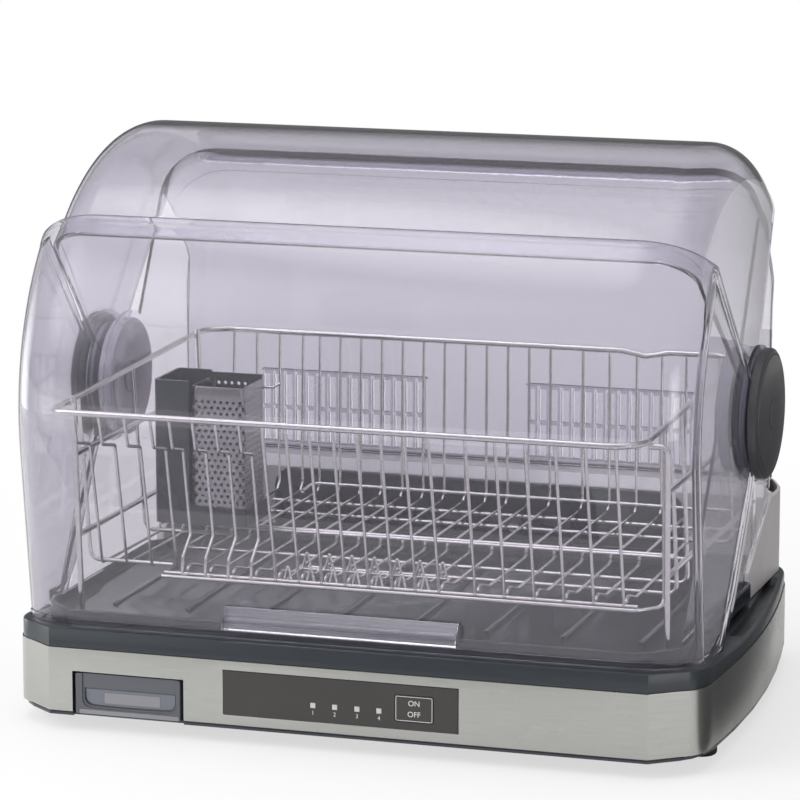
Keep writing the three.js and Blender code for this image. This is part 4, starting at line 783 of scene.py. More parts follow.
class Paint(Net):
    """One material under construction round a Principled shader."""

    def __init__(self, name: str) -> None:
        """Starts a material with its shader and Object coordinates.

        Args:
            name: The new item's name.
        """
        self.material = bpy.data.materials.new(name)
        self.material.use_nodes = True
        super().__init__(self.material.node_tree)
        self.shader = self.tree.nodes["Principled BSDF"]
        self.output = self.tree.nodes["Material Output"]
        self.coords = self.node("ShaderNodeTexCoord").outputs["Object"]

    def set(self, **constants: float) -> None:
        """Sets constants on the shader's own sockets, with _ for a blank in a name."""
        for name, value in constants.items():
            self.shader.inputs[name.replace("_", " ")].default_value = value

    def group(self, tree: Group, **inputs: object) -> bpy.types.Node:
        """Adds a shared group fed by Object coordinates and by the named values.

        Args:
            tree: The group.
            inputs: The inputs.

        Returns:
            The node.
        """
        made = self.node("ShaderNodeGroup", node_tree=tree)
        self.link(self.coords, made.inputs["Vector"])
        for name, value in inputs.items():
            self.feed(made.inputs[name.replace("_", " ")], value)
        return made

    def blend(self, share: Socket, a: object, b: object, kind: str = "MIX") -> Socket:
        """Mixes two colours, each a tuple or a socket, by a share from 0 to 1.

        Args:
            share: The share, from 0 to 1.
            a: The first colour.
            b: The second colour.
            kind: How they are mixed.

        Returns:
            The output.
        """
        made = self.node("ShaderNodeMix", data_type="RGBA", blend_type=kind)
        self.feed(made.inputs["Factor"], share)
        for place, value in ((6, a), (7, b)):
            self.feed(made.inputs[place], value if isinstance(value, Socket) else (*value, 1.0))
        return made.outputs[2]

    def span(self, value: Socket, low: float, high: float, start: float = 0.3, end: float = 0.7) -> Socket:
        """Maps a value between start and end to a value between low and high.

        Args:
            value: The value that is followed.
            low: The result at the start.
            high: The result at the end.
            start: Where it starts.
            end: Where it ends.

        Returns:
            The output.
        """
        made = self.node("ShaderNodeMapRange")
        self.link(value, made.inputs["Value"])
        for name, number in (("From Min", start), ("From Max", end), ("To Min", low), ("To Max", high)):
            made.inputs[name].default_value = number
        return made.outputs["Result"]

    def smooth(self, value: Socket, over: Flat) -> Socket:
        """A soft rise from 0 to 1 while a value passes over a span."""
        made = self.node("ShaderNodeMapRange", interpolation_type="SMOOTHSTEP")
        self.link(value, made.inputs["Value"])
        made.inputs["From Min"].default_value, made.inputs["From Max"].default_value = over
        return made.outputs["Result"]

    def bump(self, height: Socket, strength: float, distance: float) -> None:
        """Raises the surface by a height, with the distance in millimetres.

        Args:
            height: The height that is followed.
            strength: How strongly it shows.
            distance: The height of a full step, in millimetres.
        """
        made = self.node("ShaderNodeBump")
        made.inputs["Strength"].default_value = strength
        made.inputs["Distance"].default_value = distance * MM
        self.link(height, made.inputs["Height"])
        self.link(made.outputs["Normal"], self.shader.inputs["Normal"])

    def colour(self, value: object) -> None:
        """Sets or links the base colour."""
        self.feed(self.shader.inputs["Base Color"], value if isinstance(value, Socket) else (*value, 1.0))

    def rough(self, value: Socket) -> None:
        """Links the roughness."""
        self.link(value, self.shader.inputs["Roughness"])


@dataclass(frozen=True)
class Plastic:
    """An opaque moulded finish: colour, roughness, depth of grain, clear top gloss, and a painted glow that
    stands in for light falling on it.
    """

    colour: Point
    rough: float = 0.35
    grain: float = 0.04
    coat: float = 0.0
    scale: float = 900.0
    glow: float = 0.0

    def make(self, name: str, groups: dict[str, Group]) -> bpy.types.Material:
        """Builds the material from the shared groups.

        Args:
            name: The new item's name.
            groups: The shared shader groups.

        Returns:
            The material.
        """
        paint = Paint(name)
        skin = paint.group(groups["surface"], Grain_scale=self.scale, Smudge_scale=24.0)
        dark = tuple(c * 0.86 for c in self.colour)
        paint.colour(paint.blend(paint.span(skin.outputs["Smudge"], 0.0, 1.0, 0.1, 0.9), self.colour, dark))
        paint.rough(paint.span(skin.outputs["Smudge"], self.rough * 0.8, self.rough * 1.3, 0.1, 0.9))
        paint.bump(skin.outputs["Height"], 0.35, self.grain)
        # The emission is a painted glow, standing in for light that falls on the piece.
        paint.set(IOR=1.5, Coat_Weight=self.coat, Coat_Roughness=0.12, Emission_Strength=self.glow)
        return paint.material


@dataclass(frozen=True)
class Metal:
    """A metal finish: colour, roughness, streak direction and depth."""

    colour: Point
    rough: float = 0.3
    stretch: Point = (1.0, 1.0, 1.0)
    scale: float = 60.0
    depth: float = 0.02
    metallic: float = 1.0

    def make(self, name: str, groups: dict[str, Group]) -> bpy.types.Material:
        """Builds the material from the shared groups.

        Args:
            name: The new item's name.
            groups: The shared shader groups.

        Returns:
            The material.
        """
        paint = Paint(name)
        skin = paint.group(groups["brush"], Stretch=self.stretch, Scale=self.scale)
        dark = tuple(c * 0.9 for c in self.colour)
        paint.colour(paint.blend(paint.span(skin.outputs["Streak"], 0.0, 1.0), self.colour, dark))
        paint.rough(paint.span(skin.outputs["Cloud"], self.rough - 0.04, self.rough + 0.06))
        paint.bump(skin.outputs["Streak"], 0.3, self.depth)
        paint.set(Metallic=self.metallic)
        return paint.material


@dataclass(frozen=True)
class Clear:
    """A see-through moulded finish: tint face on; a colour at a glancing view that is partly the longer path
    through the tinted wall and partly painted shade for the dark lines at silhouettes; and ripple.
    """

    tint: Point
    # Colour at a glancing view: partly the longer path through the tinted wall, partly painted shade for the
    # dark silhouette lines.
    edge: Point
    rough: float = 0.02
    ripple: float = 0.25
    shadow: Point = (0.86, 0.86, 0.88)
    bend: float = 1.49
    glass: float = 1.0
    glancing_shade_span: Flat = (0.73, 0.84)

    def make(self, name: str, groups: dict[str, Group]) -> bpy.types.Material:
        """Builds the material from the shared groups.

        Args:
            name: The new item's name.
            groups: The shared shader groups.

        Returns:
            The material.
        """
        paint = Paint(name)
        skin = paint.group(groups["surface"], Grain_scale=38.0, Smudge_scale=11.0)
        facing = paint.node("ShaderNodeLayerWeight")
        facing.inputs["Blend"].default_value = 0.5
        # Painted shade: toward a glancing view the colour turns from the tint to the darker glancing colour.
        rim = paint.smooth(facing.outputs["Facing"], self.glancing_shade_span)
        paint.colour(paint.blend(rim, self.tint, self.edge))
        paint.rough(paint.span(skin.outputs["Smudge"], self.rough * 0.4, self.rough * 1.6))
        paint.bump(skin.outputs["Height"], 0.12, self.ripple)
        paint.set(IOR=self.bend, Transmission_Weight=self.glass)
        light = paint.node("ShaderNodeLightPath")
        through = paint.node("ShaderNodeBsdfTransparent")
        through.inputs["Color"].default_value = (*self.shadow, 1.0)
        mix = paint.node("ShaderNodeMixShader")
        paint.link(light.outputs["Is Shadow Ray"], mix.inputs[0])
        paint.link(paint.shader.outputs[0], mix.inputs[1])
        paint.link(through.outputs[0], mix.inputs[2])
        paint.link(mix.outputs[0], paint.output.inputs["Surface"])
        return paint.material


FINISHES: dict[Slot | Look, Plastic | Metal | Clear] = {
    Slot.BAND: Metal((0.5, 0.505, 0.475), 0.26, (0.6, 0.6, 30.0), 60.0, 0.008),
    Slot.WIRE: Metal((0.93, 0.92, 0.88), 0.15, (1.0, 1.0, 1.0), 300.0, 0.01),
    Slot.PERFORATED: Metal((0.5, 0.5, 0.5), 0.26, (8.0, 8.0, 0.5), 90.0, 0.008),
    Slot.SLATE: Plastic((0.03, 0.037, 0.049), 0.24, 0.004, 0.3),
    Slot.TRIM: Plastic((0.027, 0.033, 0.04), 0.3, 0.006, 0.15),
    Slot.CLEAR: Clear((0.71, 0.69, 0.75), (0.006, 0.006, 0.009), glass=0.97),
    Slot.SMOKY: Clear((0.17, 0.175, 0.2), (0.06, 0.06, 0.08), 0.08, glass=0.45),
    Slot.CAP: Plastic((0.055, 0.055, 0.061), 0.38, 0.006, 0.1),
    Slot.PANEL: Plastic((0.036, 0.032, 0.03), 0.3, 0.003, 0.3),
    Slot.LAMP: Plastic((0.62, 0.62, 0.58), 0.3, 0.01, 0.4),
    Slot.GREY: Plastic((0.62, 0.59, 0.6), 0.4, 0.006, 0.1),
    Slot.RUBBER: Plastic((0.03, 0.03, 0.03), 0.7, 0.05),
    Slot.BOARD: Plastic((0.05, 0.17, 0.07), 0.45, 0.02),
    Slot.PLATED: Metal((0.55, 0.55, 0.54), 0.32, (3.0, 3.0, 3.0), 200.0, 0.01),
    Slot.BLACK: Plastic((0.022, 0.022, 0.024), 0.45, 0.03),
    Slot.WHITE: Plastic((0.72, 0.72, 0.7), 0.4, 0.02),
    Slot.INK: Plastic((0.72, 0.72, 0.7), 0.5, 0.004),
    Look.WET: Plastic((0.02, 0.025, 0.034), 0.1, 0.45, 0.2, 14.0),
    Look.PALE: Clear((0.72, 0.71, 0.77), (0.12, 0.12, 0.16), 0.04, glass=0.62),
    # Painted light: a paler copy of the clear finish with a weaker bend, lifting the shade of the side plates
    # seen at a glancing view.
    Look.SHEER: Clear((0.93, 0.92, 0.95), (0.006, 0.006, 0.009), bend=1.3, glass=0.98, glancing_shade_span=(0.78, 0.88)),
    # Painted light: a paler copy of the lid's clear finish that brightens the grip ledge.
    Look.GRIP: Clear((0.86, 0.85, 0.92), (0.01, 0.01, 0.015), glass=0.96),
    # Painted light: paler than the grey body and faintly glowing, so that the housing's front strip looks
    # lit.
    Look.FASCIA: Plastic((0.88, 0.86, 0.9), 0.35, 0.006, 0.1, glow=0.2),
    Look.DEEP: Clear((0.22, 0.23, 0.27), (0.12, 0.12, 0.15), 0.12, glass=0.3),
    # Painted light: a pale see-through finish for sheets that lighten parts of the smoky drawer.
    Look.GLOW: Clear((0.3, 0.295, 0.32), (0.2, 0.2, 0.23), 0.12, glass=0.2),
}


class Finishes:
    """The scene's materials, one for each slot."""

    def __init__(self) -> None:
        """Builds the shared groups and every material."""
        groups = {"surface": surface_group(), "brush": brush_group()}
        self.by_slot = {slot: finish.make(slot.value, groups) for slot, finish in FINISHES.items()}

    def dress(self, thing: Piece, slot: Slot | Look) -> None:
        """Gives a piece one finish on every face."""
        thing.data.materials.clear()
        thing.data.materials.append(self.by_slot[slot])

    def dress_frame(self, frame: dict) -> None:
        """Gives each CAD node the finish of its slot in the record."""
        for part in frame["record"]["subparts"]:
            self.dress(frame["nodes"][part["node"]], Slot(part["material_slot"]))


# Camera and studio


@dataclass(frozen=True)
class Camera:
    """Where the picture is taken from, in millimetres, and its lens."""

    eye: Point = (916.1, -2936.7, 816.1)
    target: Point = (-16.93, -2.0, 221.11)
    lens: float = 188.998

    def build(self) -> Piece:
        """Adds the camera and makes it the scene's.

        Returns:
            The piece.
        """
        data = bpy.data.cameras.new("camera")
        data.lens = self.lens
        data.sensor_width = 36.0
        data.clip_start, data.clip_end = 0.05, 60.0
        made = bpy.data.objects.new("camera", data)
        made.location = Vector(self.eye) * MM
        made.rotation_mode = "QUATERNION"
        made.rotation_quaternion = (Vector(self.target) - Vector(self.eye)).to_track_quat("-Z", "Y")
        bpy.context.scene.collection.objects.link(made)
        bpy.context.scene.camera = made
        return made


@dataclass(frozen=True)
class Softbox:
    """One soft lamp: name, place and aim in metres, size, and power in watts."""

    name: str
    place: Point
    aim: Point
    size: Flat
    power: float
    mirrored: bool = False
    bent: bool = True

    def build(self) -> None:
        """Adds the lamp, brightest in its middle and dark at its edge."""
        data = bpy.data.lights.new(self.name, "AREA")
        data.shape = "RECTANGLE"
        data.size, data.size_y = self.size
        data.energy = self.power
        data.use_nodes = True
        net = Net(data.node_tree)
        across = net.node("ShaderNodeSeparateXYZ")
        net.link(net.node("ShaderNodeNewGeometry").outputs["Parametric"], across.inputs[0])
        humps = [net.math("MULTIPLY", side, net.math("SUBTRACT", 1.0, side)) for side in across.outputs[:2]]
        level = net.math("MULTIPLY", net.math("MULTIPLY", *humps), 36.0)
        net.link(level, data.node_tree.nodes["Emission"].inputs["Strength"])
        lamp = bpy.data.objects.new(self.name, data)
        lamp.location = self.place
        lamp.rotation_mode = "QUATERNION"
        lamp.rotation_quaternion = (Vector(self.aim) - Vector(self.place)).to_track_quat("-Z", "Y")
        lamp.visible_camera = False
        lamp.visible_transmission = self.bent
        lamp.visible_glossy = self.mirrored
        bpy.context.scene.collection.objects.link(lamp)


@dataclass(frozen=True)
class Studio:
    """A pale floor, a white background and a few soft lamps."""

    bright_side: Point = (-0.62, -0.3, 0.72)
    dim: float = 0.1
    bright: float = 0.62
    floor_half: float = 6000.0
    floor_pale: float = 0.82
    near_share: float = 0.65
    fade: Flat = (0.3, 0.95)
    boxes: tuple[Softbox, ...] = (
        Softbox("key", (-2.6, -2.3, 2.6), (0.0, 0.0, 0.2), (3.4, 3.2), 84.0),
        Softbox("top", (0.0, 0.3, 2.9), (0.0, 0.0, 0.2), (3.2, 2.8), 30.0),
        Softbox("sheen", (-0.78, -0.5, 2.9), (0.0, -0.1, 0.35), (2.4, 1.1), 9.0, True),
        Softbox("fill", (2.6, -1.6, 0.5), (0.0, 0.0, 0.05), (1.0, 1.6), 8.0, True),
        Softbox("strip", (-1.6, 0.25, 0.15), (-0.24, -0.16, 0.1), (0.7, 0.9), 4.0, True, False),
        Softbox("low", (-0.75, -0.78, 0.16), (-0.22, -0.19, 0.1), (0.9, 0.4), 1.3, True, False),
    )
    view: Point = (-0.297, 0.936, -0.19)
    aligned: Flat = (0.5, 0.85)
    behind: Flat = (0.05, 0.5)
    above: Flat = (-0.05, 0.7)
    mirrored: Flat = (0.2, 1.0)
    card_dark: Point = (0.07, 0.07, 0.075)
    cards: tuple[tuple[Flat, ...], ...] = (
        ((-1600.0, -500.0), (104.0, -500.0), (-245.0, -1600.0), (-1600.0, -1600.0)),
        ((290.0, -150.0), (1600.0, -150.0), (1600.0, 1600.0), (290.0, 1600.0)))

    def build(self) -> None:
        """Adds the world, the lamps and the floor."""
        bpy.context.scene.view_settings.view_transform = "Standard"
        self.world()
        for box in self.boxes:
            box.build()
        self.floor()

    def world(self) -> None:
        """White where it is seen, a soft light from above left elsewhere, and dark behind in reflections."""
        world = bpy.data.worlds.new("studio")
        bpy.context.scene.world = world
        world.use_nodes = True
        net = Net(world.node_tree)
        direction = net.node("ShaderNodeTexCoord").outputs["Generated"]
        parts = net.node("ShaderNodeSeparateXYZ")
        net.link(direction, parts.inputs[0])

        def along(way: Point) -> Socket:
            """How far the direction agrees with another."""
            lean = net.node("ShaderNodeVectorMath", operation="DOT_PRODUCT")
            net.link(direction, lean.inputs[0])
            lean.inputs[1].default_value = way
            return lean.outputs["Value"]

        def ramp(value: Socket, span: Flat) -> Socket:
            """A smooth rise from 0 to 1 over a span."""
            made = net.node("ShaderNodeMapRange", interpolation_type="SMOOTHSTEP")
            net.link(value, made.inputs["Value"])
            made.inputs["From Min"].default_value, made.inputs["From Max"].default_value = span
            return made.outputs[0]

        path = net.node("ShaderNodeLightPath")
        lit = net.math("ADD", net.math("MULTIPLY", ramp(along(self.bright_side), (-0.9, 0.9)),
                                       self.bright - self.dim), self.dim)
        front = net.math("SUBTRACT", 1.0, ramp(parts.outputs["Y"], self.behind))
        high = net.math("MULTIPLY", ramp(parts.outputs["Z"], self.above), front)
        low, top = self.mirrored
        shown = net.math("ADD", net.math("MULTIPLY", high, top - low), low)
        bent = net.math("MAXIMUM", path.outputs["Is Glossy Ray"], path.outputs["Is Transmission Ray"])
        level = net.math("ADD", net.math("MULTIPLY", shown, bent),
                         net.math("MULTIPLY", lit, net.math("SUBTRACT", 1.0, bent)))
        straight = net.math("MULTIPLY", path.outputs["Is Transmission Ray"],
                            ramp(along(self.view), self.aligned))
        seen = net.math("MAXIMUM", path.outputs["Is Camera Ray"], straight)
        soft = world.node_tree.nodes["Background"]
        soft.inputs["Color"].default_value = (1.0, 1.0, 1.0, 1.0)
        net.link(level, soft.inputs["Strength"])
        white = net.node("ShaderNodeBackground")
        white.inputs["Color"].default_value = (1.0, 1.0, 1.0, 1.0)
        mix = net.node("ShaderNodeMixShader")
        net.link(seen, mix.inputs[0])
        net.link(soft.outputs[0], mix.inputs[1])
        net.link(white.outputs[0], mix.inputs[2])
        net.link(mix.outputs[0], world.node_tree.nodes["World Output"].inputs["Surface"])

    def floor(self) -> None:
        """A pale floor that holds the object's shadow and fades to the white background."""
        half = self.floor_half
        floor = block("studio_floor", (-half, half), (-half, half), (-5, 0))
        paint = Paint("studio_floor")
        paint.colour((self.floor_pale,) * 3)
        paint.set(Roughness=0.9)
        far = paint.node("ShaderNodeVectorMath", operation="LENGTH")
        paint.link(paint.coords, far.inputs[0])
        share = paint.span(far.outputs["Value"], self.near_share, 1.0, *self.fade)
        path = paint.node("ShaderNodeLightPath")
        seen = paint.math("MAXIMUM", path.outputs["Is Camera Ray"], path.outputs["Is Transmission Ray"])
        white = paint.node("ShaderNodeEmission")
        mix = paint.node("ShaderNodeMixShader")
        paint.link(paint.math("MULTIPLY", seen, share), mix.inputs[0])
        paint.link(paint.shader.outputs[0], mix.inputs[1])
        paint.link(white.outputs[0], mix.inputs[2])
        paint.link(mix.outputs[0], paint.output.inputs["Surface"])
        floor.data.materials.append(paint.material)
        dark = Paint("studio_card")
        dark.colour(self.card_dark)
        dark.set(Roughness=0.8)
        for i, outline in enumerate(self.cards):
            card = prism(f"studio_card_{i + 1}", outline, Axis.Z, 1.0, 2.0)
            card.data.materials.append(dark.material)
            for ray in ("camera", "diffuse", "transmission", "shadow", "volume_scatter"):
                setattr(card, f"visible_{ray}", False)


# Base


class Maker:
    """What every sub-assembly shares: its finishes and how a piece is handed to the frame."""

    def __init__(self, finishes: Finishes, frame: dict) -> None:
        """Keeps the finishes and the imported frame."""
        self.finishes = finishes
        self.frame = frame

    def settle(self, thing: Piece, body: str, slot: Slot, *nodes: str,
               look: Look | None = None) -> Piece:
        """Finishes a piece: its material, the body that it rides on, and the nodes it stands for.

        Args:
            thing: The piece.
            body: The body that it rides on.
            slot: Its slot in the record.
            nodes: The CAD nodes that it replaces.
            look: Its finish, where that differs from its slot.

        Returns:
            The piece.
        """
        self.finishes.dress(thing, look or slot)
        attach(thing, body)
        if nodes:
            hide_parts(*nodes)
        LOG.info("%s rides on %s, %d faces", thing.name, body, len(thing.data.polygons))
        return thing


@dataclass(frozen=True)
class BaseSizes:
    """Outline of the base seen from above, and the heights of its rings."""

    front_y: float = -192.5
    back_y: float = 200.0
    crease_x: float = 224.5
    facet: Flat = (244.0, -177.0)
    pull: Flat = (260.5, -169.5)
    side_front: float = -142.5
    side_back: float = 150.0
    widest: float = 262.9
    widest_y: float = -58.0
    bulge: float = 1205.0
    rear_pull: Flat = (240.0, 200.0)
    rear_x: float = 195.0
    band: Flat = (14.5, 61.8)
    band_wall: float = 1.5
    bay: Flat = (-206.0, -120.2)
    bay_top: float = 44.8
    panel: Flat = (-89.8, 86.8)
    panel_z: Flat = (22.0, 54.8)
    trim_bottom: float = 62.1
    trim_front: float = 76.0
    trim_back: float = 71.0
    slope: Flat = (-185.0, -61.0)
    ledge_top: float = 73.7
    ledge_bottom: float = 66.0
    pocket_x: float = 238.0
    pocket_y: Flat = (-45.0, 138.0)
    pocket_floor: float = 63.6
    deck_y: float = 150.0
    deck_inset: float = 23.0
    insets: tuple[float, ...] = (0.8, 0.8, 1.2, 2.1, 4.8, 5.2, 15.0, 15.5, 15.5, 24.0, 24.0, 3.0, 3.0)

    def side_x(self, y: float) -> float:
        """Half width of the base at a depth."""
        return self.widest - (y - self.widest_y) ** 2 / (2 * self.bulge)

    def outline(self, cuts: Sequence[float] = ()) -> list[Flat]:
        """The closed outline from the left crease, anticlockwise from above, with extra points in front.

        Args:
            cuts: X places of extra points on the front.

        Returns:
            The outline.
        """
        front = [(x, self.front_y) for x in sorted({-self.crease_x, self.crease_x, *cuts})]
        corner = bezier([self.facet, self.pull, (self.side_x(self.side_front), self.side_front)], 8)
        side = [(self.side_x(y), y) for y in spread(self.side_front, self.side_back, 40)][1:]
        rear = bezier([side[-1], self.rear_pull, (self.rear_x, self.back_y)], 10)[1:]
        right = corner + side + rear
        return front + right + [(-x, y) for x, y in reversed(right)]

    def top(self, y: float) -> float:
        """Height of the trim's top at a depth."""
        share = (y - self.slope[0]) / (self.slope[1] - self.slope[0])
        return self.trim_front + (self.trim_back - self.trim_front) * min(1.0, max(0.0, share))


class Base(Maker):
    """Metal band, dark trim with its side gutters, and feet."""

    sizes = BaseSizes()

    def build(self) -> None:
        """Builds the ring pieces and the feet."""
        self.band()
        self.trim()
        for node in ("foot_front_left", "foot_front_right", "foot_rear_left", "foot_rear_right"):
            low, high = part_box(node)
            x, y = (low.x + high.x) / 2 / MM, (low.y + high.y) / 2 / MM
            profile = [(0, 0.4), (3, 0.4), (3.6, 1.2), (6.2, 1.2), (6.8, 0), (10.6, 0), (11.6, 0.8),
                       (12, 2), (12, 11.2), (0, 11.2)]
            self.settle(turned(f"{node}_pad", profile, Axis.Z, (x, y), 40), "base", Slot.RUBBER, node)

    def band(self) -> None:
        """The metal band with its drawer bay and panel opening."""
        size = self.sizes
        outer = size.outline([*size.bay, *size.panel])
        inner = offset_path(outer, size.band_wall, True)
        levels = [size.band[0], size.panel_z[0], size.bay_top, size.panel_z[1], size.band[1]]

        def open_cell(i: int, j: int) -> bool:
            """Whether a cell lies in the bay or behind the panel.

            Args:
                i: Row of the cell.
                j: Column of the cell.

            Returns:
                Whether it is left open.
            """
            (x0, y0), (x1, y1) = outer[i], outer[(i + 1) % len(outer)]
            x, z = (x0 + x1) / 2, (levels[j] + levels[j + 1]) / 2
            if max(y0, y1) > size.front_y + 0.1:
                return False
            bay = size.bay[0] < x < size.bay[1] and z < size.bay_top
            panel = size.panel[0] < x < size.panel[1] and size.panel_z[0] < z < size.panel_z[1]
            return bay or panel

        made = walled("metal_band", [[(x, y, z) for z in levels] for x, y in outer],
                      [[(x, y, z) for z in levels] for x, y in inner], True, open_cell)
        self.settle(eased(made, 0.35, 2), "base", Slot.BAND, "base_band")

    def trim(self) -> None:
        """The dark ring on the band, its lowered side gutters and the rear deck."""
        size = self.sizes
        outer = size.outline()
        paths = {d: offset_path(outer, d, True) for d in sorted(set(size.insets))}
        sections: list[list[Point]] = []
        for i, (x, y) in enumerate(outer):
            top = size.top(y)
            ledge = min(size.ledge_top, top - 0.4)
            inside = abs(x) > size.pocket_x and size.pocket_y[0] < y < size.pocket_y[1]
            low = size.pocket_floor if inside else top
            heights = [size.trim_bottom, top - 1.3, top - 0.4, top, top, low, low, top, ledge, ledge,
                       size.ledge_bottom, size.ledge_bottom, size.trim_bottom]
            sections.append([(*paths[d][i], z) for d, z in zip(size.insets, heights)])
        self.settle(looped("trim_ring", sections), "base", Slot.TRIM, "base_trim")
        back = [p for p in offset_path(outer, size.deck_inset, True) if p[1] > size.deck_y]
        right = [p for p in back if p[0] > 0]
        left = [p for p in back if p[0] <= 0]
        deck = prism("trim_deck", [(left[-1][0], size.deck_y), (right[0][0], size.deck_y), *right, *left],
                     Axis.Z, size.ledge_bottom, size.trim_back - 0.1)
        self.settle(deck, "base", Slot.TRIM)


@dataclass(frozen=True)
class FloorSizes:
    """Drip floor: outline, heights, ridges and drain."""

    front_y: float = -176.5
    back_y: float = 143.0
    side_x: float = 241.0
    rear_x: float = 230.4
    step_y: float = 55.0
    crease_x: float = 216.0
    corner_y: float = -152.0
    bottom: float = 74.0
    floor: float = 78.0
    rim: float = 87.0
    ridge_span: float = 200.0
    ridge_reach: float = 120.0
    ridges: int = 8
    drain: Flat = (-163.0, -148.0)
    ridge_half: float = 2.2
    ridge_sink: float = 0.4
    ridge_high: float = 2.5


class DripFloor(Maker):
    """Dark ribbed drip floor."""

    sizes = FloorSizes()

    def build(self) -> None:
        """Builds the dished floor with raised ridges and its drain hole."""
        size = self.sizes
        right = [(size.crease_x, size.front_y), (size.side_x, size.corner_y), (size.side_x, size.step_y),
                 (size.rear_x, size.step_y + 5), (size.rear_x, size.back_y)]
        shape = rounded(right + [(-x, y) for x, y in reversed(right)], 12.0, 5)
        steps = [(1.0, size.bottom), (0.0, size.bottom + 1), (0.0, size.rim - 0.9), (0.5, size.rim - 0.2),
                 (1.2, size.rim), (2.2, size.rim), (2.8, size.rim - 0.4), (3.2, size.rim - 1.4),
                 (4.2, size.floor + 2.4), (5.4, size.floor + 0.8), (7.4, size.floor)]
        rings = [[(x, y, z) for x, y in offset_path(shape, d, True)] for d, z in steps]
        count = len(shape)
        points = [p for ring in rings for p in ring]
        faces: list[Sequence[int]] = [(k * count + i, k * count + (i + 1) % count,
                                       (k + 1) * count + (i + 1) % count, (k + 1) * count + i)
                                      for k in range(len(rings) - 1) for i in range(count)]
        faces += [range(count - 1, -1, -1), range((len(rings) - 1) * count, len(rings) * count)]
        tray = make_mesh("drip_floor", points, faces)
        hole = turned("drain_cut", [(0, 70), (6.5, 70), (6.5, 76), (9.5, 80), (0, 80)], Axis.Z, size.drain,
                      32)
        tray = carved(tray, [hole])
        self.settle(tray, "base", Slot.SLATE, "floor_tray", look=Look.WET)
        pitch = 2 * size.ridge_span / (size.ridges - 1)
        for i in range(size.ridges):
            x = -size.ridge_span + pitch * i
            ridge = block(f"floor_ridge_{i + 1}", (x - size.ridge_half, x + size.ridge_half),
                          (-size.ridge_reach, size.ridge_reach), (size.floor - size.ridge_sink,
                                                                  size.floor + size.ridge_high))
            self.settle(eased(ridge, 1.4, 3), "base", Slot.SLATE, look=Look.WET)


# Clear shells


def about_hub(angle: float, radius: float) -> Flat:
    """A (y, z) place round the pivot; the angle is from straight up, forward positive."""
    turn = math.radians(angle)
    return -radius * math.sin(turn), HUB_Z + radius * math.cos(turn)


@dataclass(frozen=True)
class Station:
    """One stop of a swept wall: where a radius goes, how far its outside swells, how thin it gets."""

    place: Callable[[float], Flat]
    swell: float = 0.0
    taper: float = 0.0


def swept_wall(name: str, half: Sequence[Flat], stations: Sequence[Station], wall: float = 2.5,
               flat: Sequence[float] = (), gaps: Callable[[Point], bool] | None = None,
               sharp: float = 24) -> Piece:
    """Sweeps a mirrored (x, radius) profile through stations as a closed wall.

    Args:
        name: The piece's name.
        half: The right half of the profile, from the side wall to the crown.
        stations: The stops of the sweep.
        wall: The wall's thickness.
        flat: Extra X places on the flat crown.
        gaps: Says whether the cell round a point is left open.
        sharp: Edges that bend by more than this many degrees stay sharp.

    Returns:
        The new object.
    """
    crown = half[-1][1]
    middle = [(x, crown) for x in sorted({*flat, 0.0}, reverse=True)]
    right = list(half)
    profile = right + middle + [(-x, r) for x, r in reversed(right)]
    inside = offset_path(profile, wall)
    outer: list[list[Point]] = []
    inner: list[list[Point]] = []
    for station in stations:
        raised = offset_path(profile, -station.swell)
        outer.append([(x, *station.place(r)) for x, r in raised])
        keep, thin = 1.0 - station.taper, station.taper
        thinned = [(a * keep + c * thin, b * keep + d * thin) for (a, b), (c, d) in zip(inside, profile)]
        inner.append([(x, *station.place(r)) for x, r in thinned])

    def open_cell(i: int, j: int) -> bool:
        """Whether the cell after a station and profile place is left open."""
        around = [Vector(outer[i + a][j + b]) for a in (0, 1) for b in (0, 1)]
        return gaps is not None and gaps(tuple(sum(around, Vector()) / 4))

    return walled(name, outer, inner, False, open_cell, sharp)


def ring_sector(name: str, x: Flat, radii: Flat, angles: Flat, steps: int = 60) -> Piece:
    """A flat part ring round the pivot between two X places, radii and angles."""
    turns = spread(angles[0], angles[1], steps)
    outer = [[(x[1], *about_hub(a, r)) for r in radii] for a in turns]
    inner = [[(x[0], *about_hub(a, r)) for r in radii] for a in turns]
    return walled(name, outer, inner)


@dataclass(frozen=True)
class FrontLidSizes:
    """Outer lid: profile, sweep, skirt, side leg and grip."""

    hub_x: float = 256.5
    bore: float = 21.0
    ring: float = 50.0
    crease: Flat = (252.5, 174.0)
    pulls: tuple[Flat, Flat] = ((243.0, 187.5), (228.0, 199.82))
    crown: Flat = (199.0, 199.82)
    wall: float = 2.5
    top: float = 43.6
    tangent: float = 97.8
    leg_top: Flat = (-16.0, 178.0)
    leg_bottom: Flat = (-87.0, 71.6)
    front_bottom: float = 76.6
    slope_y: float = -185.0
    rim_band: float = 11.0
    leg_band: float = 23.0
    grip_x: Flat = (-91.0, 85.0)


